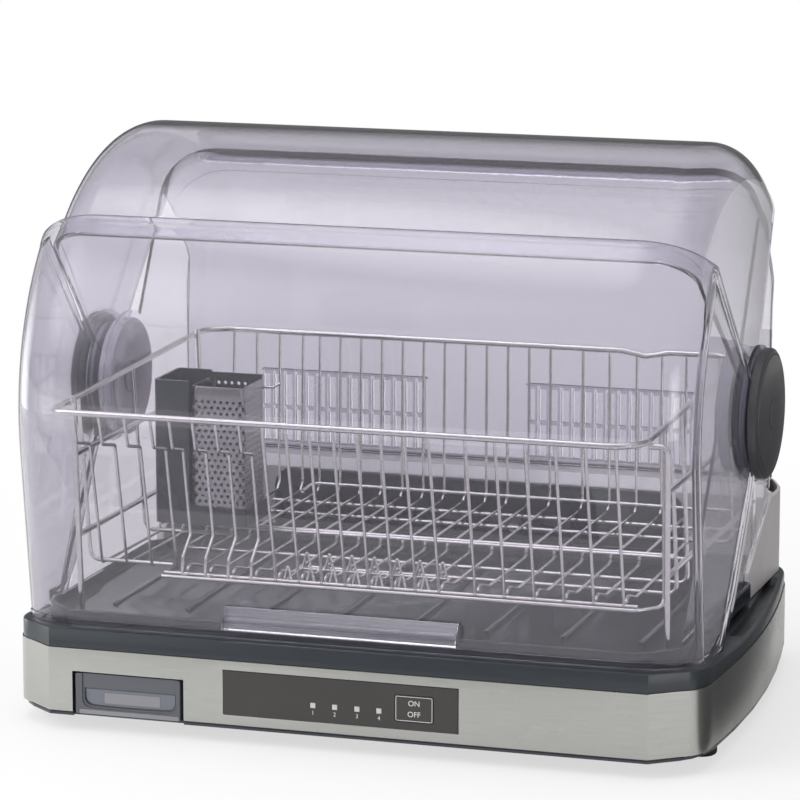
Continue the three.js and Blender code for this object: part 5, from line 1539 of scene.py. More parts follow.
class FrontLid(Maker):
    """Clear outer lid with its rim bands and grip ledge."""

    sizes = FrontLidSizes()

    def drop(self, radius: float) -> tuple[float, bool]:
        """How far a radius runs straight down the skirt, and whether it ends on the side leg.

        Args:
            radius: The radius.

        Returns:
            The run, and whether it ends on the leg.
        """
        size = self.sizes
        y0, z0 = about_hub(size.tangent, radius)
        dy, dz = -math.cos(math.radians(size.tangent)), -math.sin(math.radians(size.tangent))
        slope = (size.leg_bottom[1] - size.front_bottom) / (size.leg_bottom[0] - size.slope_y)
        flat = (size.front_bottom - z0) / dz
        tilt = (size.front_bottom + slope * (y0 - size.slope_y) - z0) / (dz - slope * dy)
        bottom = flat if y0 + dy * flat < size.slope_y else tilt
        lean = (size.leg_top[0] - size.leg_bottom[0]) / (size.leg_top[1] - size.leg_bottom[1])
        leg = (size.leg_bottom[0] + lean * (z0 - size.leg_bottom[1]) - y0) / (dy - lean * dz)
        return (leg, True) if leg < bottom else (bottom, False)

    def skirt(self, share: float, from_end: float) -> Callable[[float], Flat]:
        """A place on the straight skirt: a share of its run, less a distance from its end.

        Args:
            share: The share, from 0 to 1.
            from_end: Share of the end's band that is left out.

        Returns:
            The rule that places a radius there.
        """
        turn = math.radians(self.sizes.tangent)

        def place(radius: float) -> Flat:
            """Where a radius goes at this stop.

            Args:
                radius: The radius.

            Returns:
                The place.
            """
            run, on_leg = self.drop(radius)
            band = from_end * (self.sizes.leg_band if on_leg else 5.0)
            along = (run - band) * share
            y, z = about_hub(self.sizes.tangent, radius)
            return y - along * math.cos(turn), z - along * math.sin(turn)

        return place

    def build(self) -> None:
        """Builds the lid, its hub rings and the grip."""
        size = self.sizes
        side = [(size.hub_x, size.bore), (size.hub_x, size.ring),
                *[(size.hub_x - 4.0 * (r - 50) / 124, float(r)) for r in (85, 118, 146, 162)]]
        half = side + bezier([size.crease, *size.pulls, size.crown], 12)
        band = math.degrees(size.rim_band / size.crown[1])
        angles = [(size.top, 0.3), (size.top + 0.15, 0.6), (size.top + 1.5, 0.62), (size.top + 1.75, 0.5),
                  (size.top + 2.0, 0.62), (size.top + band - 0.3, 0.5), (size.top + band + 0.9, 0.12),
                  (size.top + band + 2.2, 0.0)]
        angles += [(a, 0.0) for a in spread(size.top + band + 3.2, size.tangent, 40)]
        stations = [Station(lambda r, a=a: about_hub(a, r), swell) for a, swell in angles]
        stations += [Station(self.skirt(s, 1.0)) for s in spread(0.0, 1.0, 14)[1:]]
        stations += [Station(self.skirt(1.0, 0.94), 0.8), Station(self.skirt(1.0, 0.04), 0.8),
                     Station(self.skirt(1.0, 0.0), 0.2)]
        shell = swept_wall("front_lid_shell", half, stations, size.wall, spread(-180, 180, 6), sharp=62)
        self.settle(shell, "front_lid", Slot.CLEAR, "front_lid")
        for name, sign in (("right", 1), ("left", -1)):
            ring = ring_sector(f"{name}_lid_ring", (sign * (size.hub_x - size.wall), sign * size.hub_x),
                               (size.bore, size.ring), (size.top - 0.1, size.top - 239.0))
            self.settle(ring, "front_lid", Slot.CLEAR)
        outline = [(-184.6, 100.6), (-186.2, 100.2), (-193.0, 93.0), (-193.4, 91.6), (-193.2, 84.0),
                   (-182.5, 84.0)]
        grip = prism("lid_grip", outline, Axis.X, *size.grip_x)
        self.settle(eased(grip, 1.1, 4), "front_lid", Slot.CLEAR, look=Look.GRIP)


@dataclass(frozen=True)
class TopLidSizes:
    """Middle lid: profile and sweep."""

    hub_x: float = 248.5
    bore: float = 21.0
    ring: float = 50.0
    corner: Flat = (211.0, 164.5)
    corner_radius: float = 31.0
    wall: float = 2.5
    front: float = 48.0
    rear: float = -38.0
    band: float = 3.6


class TopLid(Maker):
    """Clear lid over the top of the dome, with a raised band along both edges."""

    sizes = TopLidSizes()

    def build(self) -> None:
        """Builds the lid and its hub rings."""
        size = self.sizes
        side = [(size.hub_x, size.bore), (size.hub_x, size.ring), (246.4, 88.0), (244.1, 126.0)]
        half = side + arc(size.corner, size.corner_radius, 0, 90, 12)
        angles = [(size.front, 0.0), (size.front - 0.3, 0.8), (size.front - 3.0, 0.8),
                  (size.front - 3.5, 0.0)]
        angles += [(a, 0.0) for a in spread(size.front - 6, size.rear + size.band + 2.4, 34)]
        angles += [(size.rear + size.band, 0.0), (size.rear + 0.75, 0.0), (size.rear + 0.6, 0.8),
                   (size.rear, 0.8)]
        stations = [Station(lambda r, a=a: about_hub(a, r), swell) for a, swell in angles]
        shell = swept_wall("top_lid_shell", half, stations, size.wall, spread(-180, 180, 6))
        self.settle(shell, "top_lid", Slot.CLEAR, "top_lid")
        for name, sign in (("right", 1), ("left", -1)):
            ring = ring_sector(f"{name}_top_ring", (sign * (size.hub_x - size.wall), sign * size.hub_x),
                               (size.bore, size.ring), (size.rear - 0.1, size.rear - 273.9))
            self.settle(ring, "top_lid", Slot.CLEAR)


@dataclass(frozen=True)
class RearCoverSizes:
    """Fixed rear shell: profile, sweep, side plates and air slots."""

    corner: Flat = (196.0, 151.0)
    corner_radius: float = 40.0
    crown: float = 191.0
    wall: float = 2.5
    top: float = -30.0
    top_taper: float = 0.9
    rib: Flat = (-40.6, -41.8)
    back_y: float = 168.5
    bottom: float = 143.2
    front_reach: float = -142.0
    ring_end: float = 100.0
    front_low: float = 88.5
    foot_front: float = -58.0
    front_bottom: float = 79.8
    foot_y: float = 50.8
    foot_top: float = 93.2
    side_end: Flat = (128.5, 129.5)
    groups: tuple[Flat, Flat] = ((-186.0, -49.0), (33.0, 170.0))
    slots: int = 15
    share: float = 0.62
    rows: tuple[Flat, Flat] = ((148.8, 174.1), (177.1, 202.5))
    shield_past: Flat = (1.5, 2.0)
    shield_rail: float = 1.4
    shield_depth: Flat = (-0.3, 4.6)
    blade_depth: Flat = (3.2, 4.4)
    blade_past: float = 0.2
    blade_sink: float = 0.1


class RearCover(Maker):
    """Clear rear shell with two groups of air slots."""

    sizes = RearCoverSizes()

    def build(self) -> None:
        """Builds the shell and its two side plates."""
        size = self.sizes
        back = -math.degrees(math.asin(size.back_y / size.crown))
        edges = ((size.top, size.top_taper), (size.top - 3.0, 0.0))
        stations = [Station(lambda r, a=a: about_hub(a, r), 0.0, t) for a, t in edges]
        plain = spread(size.top - 5, size.rib[0] + 0.2, 3)
        stations += [Station(lambda r, a=a: about_hub(a, r)) for a in plain]
        stations += [Station(lambda r, a=a: about_hub(a, r), 0.8) for a in size.rib]
        behind = spread(size.rib[1] - 0.2, back, 12)
        stations += [Station(lambda r, a=a: about_hub(a, r)) for a in behind]
        levels = [280.0, 250.0, HUB_Z, *sorted({z for row in size.rows for z in row}, reverse=True),
                  size.bottom]
        for z in levels:
            stations.append(Station(lambda r, z=z: (size.back_y - size.crown + r, z)))
        slots: list[Flat] = []
        for low, high in size.groups:
            pitch = (high - low) / size.slots
            start = low + pitch * (1 - size.share) / 2
            slots += [(start + pitch * i, start + pitch * (i + size.share)) for i in range(size.slots)]

        def in_slot(point: Point) -> bool:
            """Whether a point of the back wall lies in an air slot."""
            x, y, z = point
            in_row = any(a < z < b for a, b in size.rows)
            return y > size.back_y - 1 and in_row and any(a < x < b for a, b in slots)

        half = arc(size.corner, size.corner_radius, 0, 90, 12)
        shell = swept_wall("rear_shell", half, stations, size.wall, [x for s in slots for x in s], in_slot)
        self.settle(shell, "base", Slot.CLEAR, "rear_cover")
        edge = size.corner[1] - 0.05
        outline = [(size.front_reach, size.front_low), (size.foot_front, size.front_low),
                   (size.foot_front, size.front_bottom), (size.foot_y, size.front_bottom),
                   (size.foot_y, size.foot_top), size.side_end, (size.side_end[0], HUB_Z)]
        outline += [about_hub(a, edge) for a in spread(back, size.top, 16)]
        outline += [about_hub(a, 50.0) for a in spread(size.top, size.ring_end, 60)]
        x = size.corner[0] + size.corner_radius
        for name, sign in (("right", 1), ("left", -1)):
            plate = prism(f"{name}_rear_side", outline, Axis.X, sign * (x - size.wall), sign * x)
            self.settle(plate, "base", Slot.CLEAR, look=Look.SHEER)
        self.shields()

    def shields(self) -> None:
        """A clear splash blade just behind each air slot, held by a rail above and below."""
        size = self.sizes
        low, high = size.rows[0][0] - size.shield_past[0], size.rows[1][1] + size.shield_past[1]
        rail = (size.back_y + size.shield_depth[0], size.back_y + size.shield_depth[1])
        blade = (size.back_y + size.blade_depth[0], size.back_y + size.blade_depth[1])
        for name, (start, end) in zip(("left", "right"), size.groups):
            pitch = (end - start) / size.slots
            spans = [((start, end), rail, (z, z + size.shield_rail)) for z in (low - size.shield_rail, high)]
            for i in range(size.slots):
                middle = start + pitch * (i + 0.5)
                half = pitch * size.share / 2 + size.blade_past
                spans.append(((middle - half, middle + half), blade,
                              (low - size.blade_sink, high + size.blade_sink)))
            points: list[Point] = []
            faces: list[Sequence[int]] = []
            for xs, ys, zs in spans:
                n = len(points)
                points += [(x, t, z) for x in xs for t in ys for z in zs]
                faces += [[n + k for k in face] for face in BOX_FACES]
            self.settle(make_mesh(f"{name}_vent_blades", points, faces), "base", Slot.CLEAR)


@dataclass(frozen=True)
class PivotSizes:
    """Rings stacked along the pivot, as (radius, distance from the middle) profiles."""

    disc: tuple[Flat, ...] = ((0, 232.4), (11, 232.4), (12, 231.7), (13, 232.6), (29, 232.6), (31, 232.0),
                              (38, 231.9), (39.2, 231.65), (41, 231.5), (42.8, 231.55), (43.8, 231.8),
                              (44.4, 232.4), (45, 240.6), (44.6, 241.6), (43, 241.8), (42.2, 241.0),
                              (41.6, 233.6), (40.8, 233.2), (13, 233.6), (12, 243), (0, 243))
    boss: tuple[Flat, ...] = ((13, 236.05), (25.6, 236.05), (26, 236.4), (26, 242.6), (25.6, 243),
                              (20, 243), (20, 257.4), (19.6, 257.6), (13, 257.6))
    core: tuple[Flat, ...] = ((20.1, 249.1), (26.5, 249.1), (26.5, 253.4), (20.1, 253.4))
    ring: tuple[Flat, ...] = ((26.7, 249.1), (40.4, 249.1), (41, 249.6), (41, 252.9), (40.4, 253.4),
                              (26.7, 253.4))
    cap: tuple[Flat, ...] = ((0, 246), (11.6, 246), (12, 246.4), (12, 258.3), (47.4, 258.3), (48, 258.8),
                             (48, 263.4), (47.6, 264.4), (46.4, 265.3), (44.8, 266.0), (44.3, 266.0),
                             (44.0, 265.7), (43.6, 265.7), (43.2, 266.3), (42, 266.6), (11.4, 266.6),
                             (11.05, 266.2), (11.05, 265.15), (0, 265.15))
    plug: tuple[Flat, ...] = ((0, 265.2), (10.9, 265.2), (10.9, 266.6), (10.5, 266.95), (0, 267.0))


class Pivots(Maker):
    """The stack of round pieces on both ends of the pivot."""

    sizes = PivotSizes()

    def build(self) -> None:
        """Builds the stack on the right and on the left."""
        size = self.sizes
        pieces = (("inner_disc", size.disc, Slot.CLEAR, Look.PALE), ("pivot_boss", size.boss, Slot.TRIM,
                                                                     None), ("detent_ring", size.ring,
                                                                             Slot.SMOKY, Look.PALE),
                  ("hub_cap", size.cap, Slot.CAP, None), ("cap_plug", size.plug, Slot.CAP, None))
        owners = {node: body for body, nodes in self.frame["record"]["behaviour"]["bodies"].items()
                  for node in nodes}
        for side, sign in (("right", 1), ("left", -1)):
            for kind, profile, slot, look in pieces:
                node = f"{side}_{kind}"
                made = turned(f"{node}_round", [(r, sign * x) for r, x in profile], Axis.X, (0.0, HUB_Z), 96)
                self.settle(made, owners[node], slot, node, look=look)
            core = turned(f"{side}_detent_core", [(r, sign * x) for r, x in size.core], Axis.X,
                          (0.0, HUB_Z), 96)
            self.settle(core, owners[f"{side}_detent_ring"], Slot.TRIM)


# Basket


@dataclass(frozen=True)
class BasketSizes:
    """Wire basket: rim, wire groups and the heights that the wires pass through."""

    left: float = -229.0
    right: float = 211.0
    front: float = -170.5
    back: float = 157.0
    front_z: float = 231.5
    back_z: float = 238.5
    corner: float = 24.0
    tight_corner: float = 9.0
    rim: float = 2.4
    wire: float = 1.25
    rail: float = 1.6
    left_group: tuple[float, float, int] = (-211.4, 19.8, 4)
    middle_group: tuple[float, float, int] = (-137.4, 17.7, 12)
    right_group: tuple[float, float, int] = (84.3, 21.9, 6)
    bent: int = 4
    floor_sides: Flat = (-219.6, 216.0)
    front_corner: tuple[Point, ...] = ((203.0, -146.0, 109.4), (219.7, -130.8, 110.0), (212.0, -104.0, 233.0))
    fan: float = 0.03
    cross: tuple[tuple[float, float, float | None, float | None], ...] = ((-146.0, 109.4, -153.0, None),
                                                                          (-139.5, 110.6, -153.0, 203.0),
                                                                          (-118.0, 111.5, None, -155.0),
                                                                          (-76.0, 106.5, -64.0, None),
                                                                          (-41.0, 106.5, -171.0, None),
                                                                          (-8.0, 110.5, None, -150.0),
                                                                          (-9.5, 117.0, -160.0, None),
                                                                          (-2.5, 117.0, -160.0, 196.0),
                                                                          (82.0, 110.0, -150.0, None),
                                                                          (122.5, 110.0, -162.0, None),
                                                                          (139.8, 121.4, -134.0, 200.0))
    prong_rows: Flat = (-97.0, -135.5)
    prong_starts: Flat = (-57.9, -59.4)
    prong_feet: Flat = (110.3, 108.4)
    prong_pitch: float = 17.35
    prongs: int = 7
    prong_high: float = 12.0
    prong_half: Flat = (3.3, 0.5)
    prong_ends: Flat = (5.0, 6.0)
    prong_wire: float = 1.0
    prong_bend: float = 0.5
    dip: Flat = (131.5, 3.4)
    dip_reach: Flat = (18.5, 19.5)
    rear_cross_y: float = 139.8
    hook_end: Point = (-4.0, -14.0, -4.0)

    def rim_z(self, y: float) -> float:
        """Height of the tilted rim at a depth."""
        return self.front_z + (self.back_z - self.front_z) * (y - self.front) / (self.back - self.front)


class Basket(Maker):
    """Wire basket with its rack of prongs."""

    sizes = BasketSizes()

    def __init__(self, finishes: Finishes, frame: dict) -> None:
        """Makes the wire tree that every wire set runs through."""
        super().__init__(finishes, frame)
        self.tree = wire_tree()

    def wires(self, name: str, paths: Sequence[Sequence[Point]], radius: float, bend: float,
              closed: bool = False, sides: int = 8) -> Piece:
        """Builds one set of bent wires."""
        thing = edge_paths(name, paths, closed)
        return self.tree.run(thing, 60, Radius=radius * MM, Bend=bend * MM, Sides=sides,
                             Material=self.finishes.by_slot[Slot.WIRE])

    def long_path(self, x: float, group: str, number: int) -> list[Point]:
        """One wire that runs down the front, along the floor and up the back.

        Args:
            x: Its place or its two places in X.
            group: The group of wires.
            number: Its number in the group.

        Returns:
            The path.
        """
        size = self.sizes
        top = (size.front, size.front_z)
        jog = [(-162.8, 208.0), (-142.5, 203.6)]
        foot = [(-142.0, 110.0), (-136.5, 107.4), (-132.0, 110.4), (-137.0, 113.4), (-128.0, 115.4),
                (-106.0, 109.4)]
        if group == "left":
            front = [top, (-163.0, 208.0), (-139.5, 203.0), (-120.5, 116.0), (-118.5, 109.6), (-106.0, 109.4)]
        elif group == "middle" and number < size.bent:
            front = [top, *jog, (-128.6, 138.2), (-144.4, 125.0), (-146.2, 109.0), *foot[1:]]
        else:
            front = [top, (-145.3, 127.0), *foot]
        rest = [(-38.0, 109.2), (-9.0, 109.2), (-3.5, 111.4), (-8.6, 113.6), (-1.5, 114.8), (14.0, 112.9),
                (137.0, 115.0), (142.6, 121.0), (143.2, 150.0), (size.back, size.back_z)]
        lean = [0.0] * (len(front) + len(rest) - 4) + [4.0, 4.3, 3.6, 0.0]
        span = size.back - size.front
        places = zip(front + rest, lean)
        return [(x * (1.0 - size.fan * (y - size.front) / span) + move, y, z) for (y, z), move in places]

    def build(self) -> None:
        """Builds the rim, the long wires, the cross wires and the prongs."""
        size = self.sizes
        path: list[Flat] = []
        wide, tight = size.corner, size.tight_corner
        dip, deep = size.dip
        for cx, cy, radius, start in ((size.right - wide, size.front + wide, wide, -90),
                                      (size.right - wide, size.back - wide, wide, 0),
                                      (size.left + wide, size.back - wide, wide, 90),
                                      (size.left + tight, size.front + tight, tight, 180)):
            path += arc((cx, cy), radius, start, start + 90, 7)
            if start == 0:
                path += [(dip + size.dip_reach[0], size.back), (dip, size.back + 0.01),
                            (dip - size.dip_reach[1], size.back)]
        ring = [(x, y, size.rim_z(y) - (deep if abs(x - dip) < 1 else 0.0)) for x, y in path]
        rim = self.wires("basket_rim", [ring], size.rim, 4.0, True, 12)
        self.settle(rim, "basket", Slot.WIRE, "basket_left", "basket_right")
        long: list[list[Point]] = []
        for group in ("left", "middle", "right"):
            start, pitch, count = getattr(size, f"{group}_group")
            long += [self.long_path(start + pitch * i, group, i) for i in range(count)]
        self.settle(self.wires("basket_long_wires", long, size.wire, 3.2), "basket", Slot.WIRE,
                    "basket_front", "basket_back")
        across: list[list[Point]] = []
        for y, z, first, last in size.cross:
            left, right = size.floor_sides
            start = [(size.left + 1, y, size.rim_z(y)), (left, y, z)] if first is None else [(first, y, z)]
            finish = [(right, y, z), (size.right - 1, y, size.rim_z(y))] if last is None else [(last, y, z)]
            if y == size.front_corner[0][1]:
                finish = list(size.front_corner)
            if y == size.rear_cross_y:
                start.insert(0, tuple(Vector((first, y, z)) + Vector(size.hook_end)))
            across.append([*start, *finish])
        self.settle(self.wires("basket_cross_wires", across, size.rail, 7.0), "basket", Slot.WIRE,
                    "basket_floor")
        self.prongs()

    def prongs(self) -> None:
        """The two rows of A-shaped prongs on the basket's floor."""
        size = self.sizes
        paths: list[list[Point]] = []
        wide, narrow = size.prong_half
        pitch, high = size.prong_pitch, size.prong_high
        span = pitch * (size.prongs - 1)
        side, past = size.prong_ends
        for y, start, foot in zip(size.prong_rows, size.prong_starts, size.prong_feet):
            for i in range(size.prongs):
                x = start + pitch * i
                paths.append([(x - wide, y, foot), (x - narrow, y, foot + high),
                              (x + narrow, y, foot + high), (x + wide, y, foot)])
            paths.append([(start - past, y, foot), (start + span + past, y, foot)])
        back, front = size.prong_rows
        first = size.prong_starts[0]
        for x in (first - side, first + span + side):
            paths.append([(x, back, size.prong_feet[0]), (x, front, size.prong_feet[1])])
        rack = self.wires("prong_rack", paths, size.prong_wire, size.prong_bend)
        self.settle(rack, "basket", Slot.WIRE, "plate_prongs")


@dataclass(frozen=True)
class StandSizes:
    """Wire stands: the foot and head places of their rods, and their rails."""

    left: Flat = (-217.4, -222.4)
    right: Flat = (225.0, 224.0)
    rods: Flat = (-142.5, 118.6)
    rails: Flat = (195.0, 135.0)
    bottom: float = 78.2
    drop: float = 4.7
    rise: float = 6.0
    wire: float = 2.2
    bend: float = 5.0


class Stands(Basket):
    """Two wire stands that the basket rests on."""

    stand = StandSizes()

    def build(self) -> None:
        """Builds the rods and rails of both stands."""
        size = self.sizes
        stand = self.stand
        (near, far), low = stand.rods, stand.bottom
        for side, foot, head in (("left", *stand.left), ("right", *stand.right)):
            paths: list[list[Point]] = []
            for y in stand.rods:
                top = size.rim_z(y) - stand.drop
                if side == "left":
                    paths.append([(foot, y, low), (head, y, size.rim_z(y) + stand.rise)])
                else:
                    paths.append([(foot, y, low), (head, y, top), (size.right, y, top)])
            for z in stand.rails:
                x = foot + (head - foot) * (z - low) / (size.front_z - low)
                paths.append([(x, near, z), (x, far, z)])
            self.settle(self.wires(f"{side}_stand_wires", paths, stand.wire, stand.bend, False, 12), "base",
                        Slot.WIRE, f"{side}_basket_stand")


# Cutlery holder


@dataclass(frozen=True)
class HolderSizes:
    """Dark holder, its wire hooks and its perforated liner."""

    x: Flat = (-194.0, -121.3)
    y: Flat = (-52.0, 0.0)
    z: Flat = (127.0, 235.8)
    wall: float = 2.0
    post: float = 27.5
    back_right: float = -126.0
    cup_top: float = 141.0
    window_corner: float = 7.0
    peep: float = 1.45
    peeps: tuple[float, ...] = (-160.7, -155.4, -150.1, -144.8, -139.5)
    peep_z: float = 226.4
    clip: Flat = (-12.0, 196.0)
    clip_turn: float = 7.0
    hook_wire: float = 1.1
    hook_bend: float = 2.2
    hook_y: float = -3.0
    hook: tuple[Flat, ...] = ((-0.4, 225.0), (8.0, 225.3), (13.5, 228.6))
    liner_x: Flat = (-165.5, -124.4)
    liner_y: Flat = (-49.1, -2.9)
    liner_z: Flat = (129.7, 231.8)
    liner_wall: float = 0.6
    liner_corner: float = 5.0
    collar: float = 9.0
    row: float = 4.45
    rows: int = 20
    hole_pitch: float = 4.9
    hole: float = 1.3


class CutleryHolder(Basket):
    """Dark open holder that hangs in the basket, with its metal liner."""

    holder = HolderSizes()

    def build(self) -> None:
        """Builds the holder, its hooks and the liner."""
        self.body()
        self.hooks()
        self.liner()

    def body(self) -> None:
        """The dark moulding: cup, left post and back wall with a row of peep holes."""
        size = self.holder
        (x0, x1), (y0, y1), (z0, z1), wall = size.x, size.y, size.z, size.wall
        over = 9.0
        body = prism("holder_body", rounded(corners((x0, x1), (y0, y1)), 4.0, 4), Axis.Z, z0, z1)
        inside = rounded([(x0 + wall, y0 + wall), (x1 - wall, y0 + wall), (x1 - wall, y1 - wall),
                          (x0 + wall, y1 - wall)], 3.0, 4)
        hollow = prism("cut", inside, Axis.Z, z0 + wall, z1 + over)
        left = x0 + size.post
        window = [(left, size.cup_top), (x1 + over, size.cup_top), (x1 + over, z1 + over), (left, z1 + over)]
        front = prism("cut", rounded(window, size.window_corner, 5), Axis.Y, y0 - over, y0 + wall + 0.4)
        flank = block("cut", (size.back_right, x1 + over), (y0 - over, y1 + over), (size.cup_top, z1 + over))
        step = block("cut", (left, x1 + over), (y1 - wall - over, y1 + over), (z1 - 1.6, z1 + over))
        holes = [turned("cut", [(0, y1 - wall - over), (size.peep, y1 - wall - over),
                                (size.peep, y1 + over), (0, y1 + over)], Axis.Y, (x, size.peep_z), 20)
                 for x in size.peeps]
        carved(body, [hollow, front, flank, step, *holes])
        self.settle(eased(body, 0.45, 2), "cutlery_holder", Slot.SLATE, "cutlery_holder")

    def hooks(self) -> None:
        """Builds the wire at the holder's left that grips the basket, and the small hook at its right."""
        size = self.holder
        y, z = size.clip
        grip = self.sizes.floor_sides[0] + self.sizes.rail + size.hook_wire
        paths: list[list[Point]] = [[(size.x[0] + 0.6, y, z - 4.0), (size.x[0] - 2.0, y, z), (grip, y, z),
                                     (grip, y + size.clip_turn, z)]]
        paths.append([(size.liner_x[1] + reach, size.hook_y, z) for reach, z in size.hook])
        self.settle(self.wires("holder_hooks", paths, size.hook_wire, size.hook_bend), "cutlery_holder",
                    Slot.WIRE)

    def liner(self) -> None:
        """The perforated sleeve with its plain collar, its foot and its floor."""
        size = self.holder
        (x0, x1), (y0, y1), (bottom, top), wall = size.liner_x, size.liner_y, size.liner_z, size.liner_wall
        path = rounded(corners((x0, x1), (y0, y1)), size.liner_corner, 5)
        length = sum((Vector(a) - Vector(b)).length for a, b in zip(path, path[1:] + path[:1]))
        columns = round(length / size.hole_pitch)
        high = top - size.collar
        low = high - size.row * size.rows
        middle = (low + high) / 2
        values = {"Pitch": length / columns * MM, "Row pitch": size.row * MM, "Hole": size.hole * MM,
                  "Thickness": wall * MM, "Rows": size.rows, "Columns": columns,
                  "Material": self.finishes.by_slot[Slot.PERFORATED]}
        sleeve = sheet_tree().run(edge_paths("liner_sleeve", [[(*p, middle) for p in path]], True), 30,
                                  **values)
        notch = block("cut", (x0 + 5.5, x1 - 3.0), (y1 - 2.0, y1 + 2.0), (218.0, top + 5))
        self.settle(carved(sleeve, [notch]), "cutlery_liner", Slot.PERFORATED, "cutlery_liner")
        inner = offset_path(path, wall, True)

        def wall_piece(name: str, levels: Sequence[tuple[float, float]],
                       keep: Callable[[int], bool]) -> Piece:
            """A plain wall round the liner through (inset, height) levels, where keep allows it.

            Args:
                name: The new item's name.
                levels: The inset and the height of each level.
                keep: Says which side is kept.

            Returns:
                The piece.
            """
            outside = [[(*p, z) for (d, z), p in zip(levels, places)]
                       for places in zip(*[offset_path(path, d, True) for d, _ in levels])]
            inside = [[(*p, z) for (d, z), p in zip(levels, places)]
                      for places in zip(*[offset_path(inner, d, True) for d, _ in levels])]
            return walled(name, outside, inside, True, lambda i, j: not keep(i))

        centre = [((a[0] + b[0]) / 2, (a[1] + b[1]) / 2) for a, b in zip(path, path[1:] + path[:1])]
        collar = wall_piece("liner_collar", [(0.0, high), (0.0, top - 0.4), (0.2, top)],
                            lambda i: centre[i][1] < y1 - 0.5)
        self.settle(collar, "cutlery_liner", Slot.PERFORATED)
        foot = wall_piece("liner_foot", [(0.0, low), (0.2, bottom + 1.6), (1.6, bottom)], lambda i: True)
        self.settle(foot, "cutlery_liner", Slot.PERFORATED)
        floor = prism("liner_floor", offset_path(path, 1.5, True), Axis.Z, bottom, bottom + wall)
        self.settle(floor, "cutlery_liner", Slot.PERFORATED)


# Drawer, panel and rear body


@dataclass(frozen=True)
class DrawerSizes:
    """Drain drawer: outer box, walls, the shallow scoop in its face and the finger recess."""

    x: Flat = (-203.5, -122.7)
    y: Flat = (-192.8, -72.6)
    z: Flat = (13.7, 43.8)
    wall: float = 2.2
    face: float = 7.0
    scoop: float = 1.6
    scoop_x: Flat = (-198.3, -125.4)
    scoop_z: float = 18.6
    corner: float = 6.0
    recess: float = 4.4
    recess_top: float = 32.8
    recess_inset: float = 1.3
    glow_x: Flat = (-182.0, -139.0)
    glow_inset: Flat = (3.4, 3.0)
    lip_inset: Flat = (3.0, 1.0)
    lip_drop: float = 1.5
    lip_rise: float = 0.25
    lip_y: Flat = (-0.25, 0.6)


class Drawer(Maker):
    """Smoky drain drawer in the front of the base."""

    sizes = DrawerSizes()

    def opening(self, inset: float, top: float) -> list[Flat]:
        """The scoop's outline with round lower corners, drawn in by a distance and cut off at a height.

        Args:
            inset: How far it is drawn in.
            top: The height that it is cut off at.

        Returns:
            The outline.
        """
        size = self.sizes
        (left, right), low = size.scoop_x, size.scoop_z
        left, right, low = left + inset, right - inset, low + inset
        lower = arc((right - size.corner, low + size.corner), size.corner, 0, -90, 7)
        lower += [(left + (right - left) * t, low - 0.6 * math.sin(math.pi * t)) for t in spread(0.85, 0.15,
                                                                                                 6)]
        lower += arc((left + size.corner, low + size.corner), size.corner, -90, -180, 7)
        return [(right, top), *lower, (left, top)]

    def build(self) -> None:
        """Builds the drawer with its scoop and finger recess and the plates that show in them; the pale plate
        in the recess and the pale sheet along its lower front are painted light.
        """
        size = self.sizes
        (x0, x1), (y0, y1), (z0, z1) = size.x, size.y, size.z
        over = 5.0
        body = prism("drawer_body", rounded(corners((x0, x1), (z0, z1)), 1.2, 3), Axis.Y, y0, y1)
        hollow = block("cut", (x0 + size.wall, x1 - size.wall), (y0 + size.face, y1 - size.wall),
                       (z0 + size.wall, z1 + over))
        scoop = prism("cut", self.opening(0.0, z1 + over), Axis.Y, y0 - over, y0 + size.scoop)
        recess = prism("cut", self.opening(size.recess_inset, size.recess_top), Axis.Y, y0 - over,
                       y0 + size.recess)
        self.settle(eased(carved(body, [hollow, scoop, recess]), 0.35, 2), "drain_tray", Slot.SMOKY,
                    "drain_tray")
        plate = prism("drawer_front_plate", self.opening(size.recess_inset + 0.8, size.recess_top - 0.8),
                      Axis.Y, y0 + size.recess - 1.2, y0 + size.recess - 0.1)
        self.settle(plate, "drain_tray", Slot.SMOKY, look=Look.DEEP)
        # Painted light: a pale plate that lightens the middle of the recess.
        low, high = size.scoop_z + size.glow_inset[0], size.recess_top - size.glow_inset[1]
        near, far = size.glow_x
        glow = prism("drawer_inner_plate", rounded(corners((near, far), (low, high)), 1.0, 3),
                     Axis.Y, y0 + size.recess - 1.6, y0 + size.recess - 1.15)
        self.settle(glow, "drain_tray", Slot.SMOKY, look=Look.GLOW)
        # Painted light: a pale sheet that lightens the drawer's lower front edge.
        near, far = x0 + size.lip_inset[0], x1 - size.lip_inset[1]
        low, high = z0 + size.lip_rise, size.scoop_z - size.lip_drop
        lip = prism("drawer_lip", rounded(corners((near, far), (low, high)), 0.8, 3),
                    Axis.Y, y0 + size.lip_y[0], y0 + size.lip_y[1])
        self.settle(lip, "drain_tray", Slot.SMOKY, look=Look.GLOW)


@dataclass(frozen=True)
class PanelSizes:
    """Control panel: face, lamps and button."""

    x: Flat = (-89.5, 86.5)
    y: Flat = (-192.9, -189.9)
    z: Flat = (22.2, 54.6)
    lamps: tuple[float, ...] = (-21.5, -5.1, 11.6, 28.0)
    lamp: float = 3.8
    lamp_gap: float = 0.1
    lamp_front: float = -192.95
    cut_y: Flat = (-195.0, -185.0)
    number: float = 4.3
    number_drop: float = 5.4
    number_y: float = -192.92
    word: float = 5.6
    words: tuple[tuple[str, float], ...] = (("ON", 41.4), ("OFF", 33.4))
    word_y: float = -193.22
    button_y: Flat = (-193.2, -190.3)
    line_y: Flat = (-193.26, -193.18)
    line_inset: float = 0.7
    line_wide: float = 0.4
    lamp_z: float = 34.1
    button_x: Flat = (39.9, 68.5)
    button_z: Flat = (27.8, 47.2)


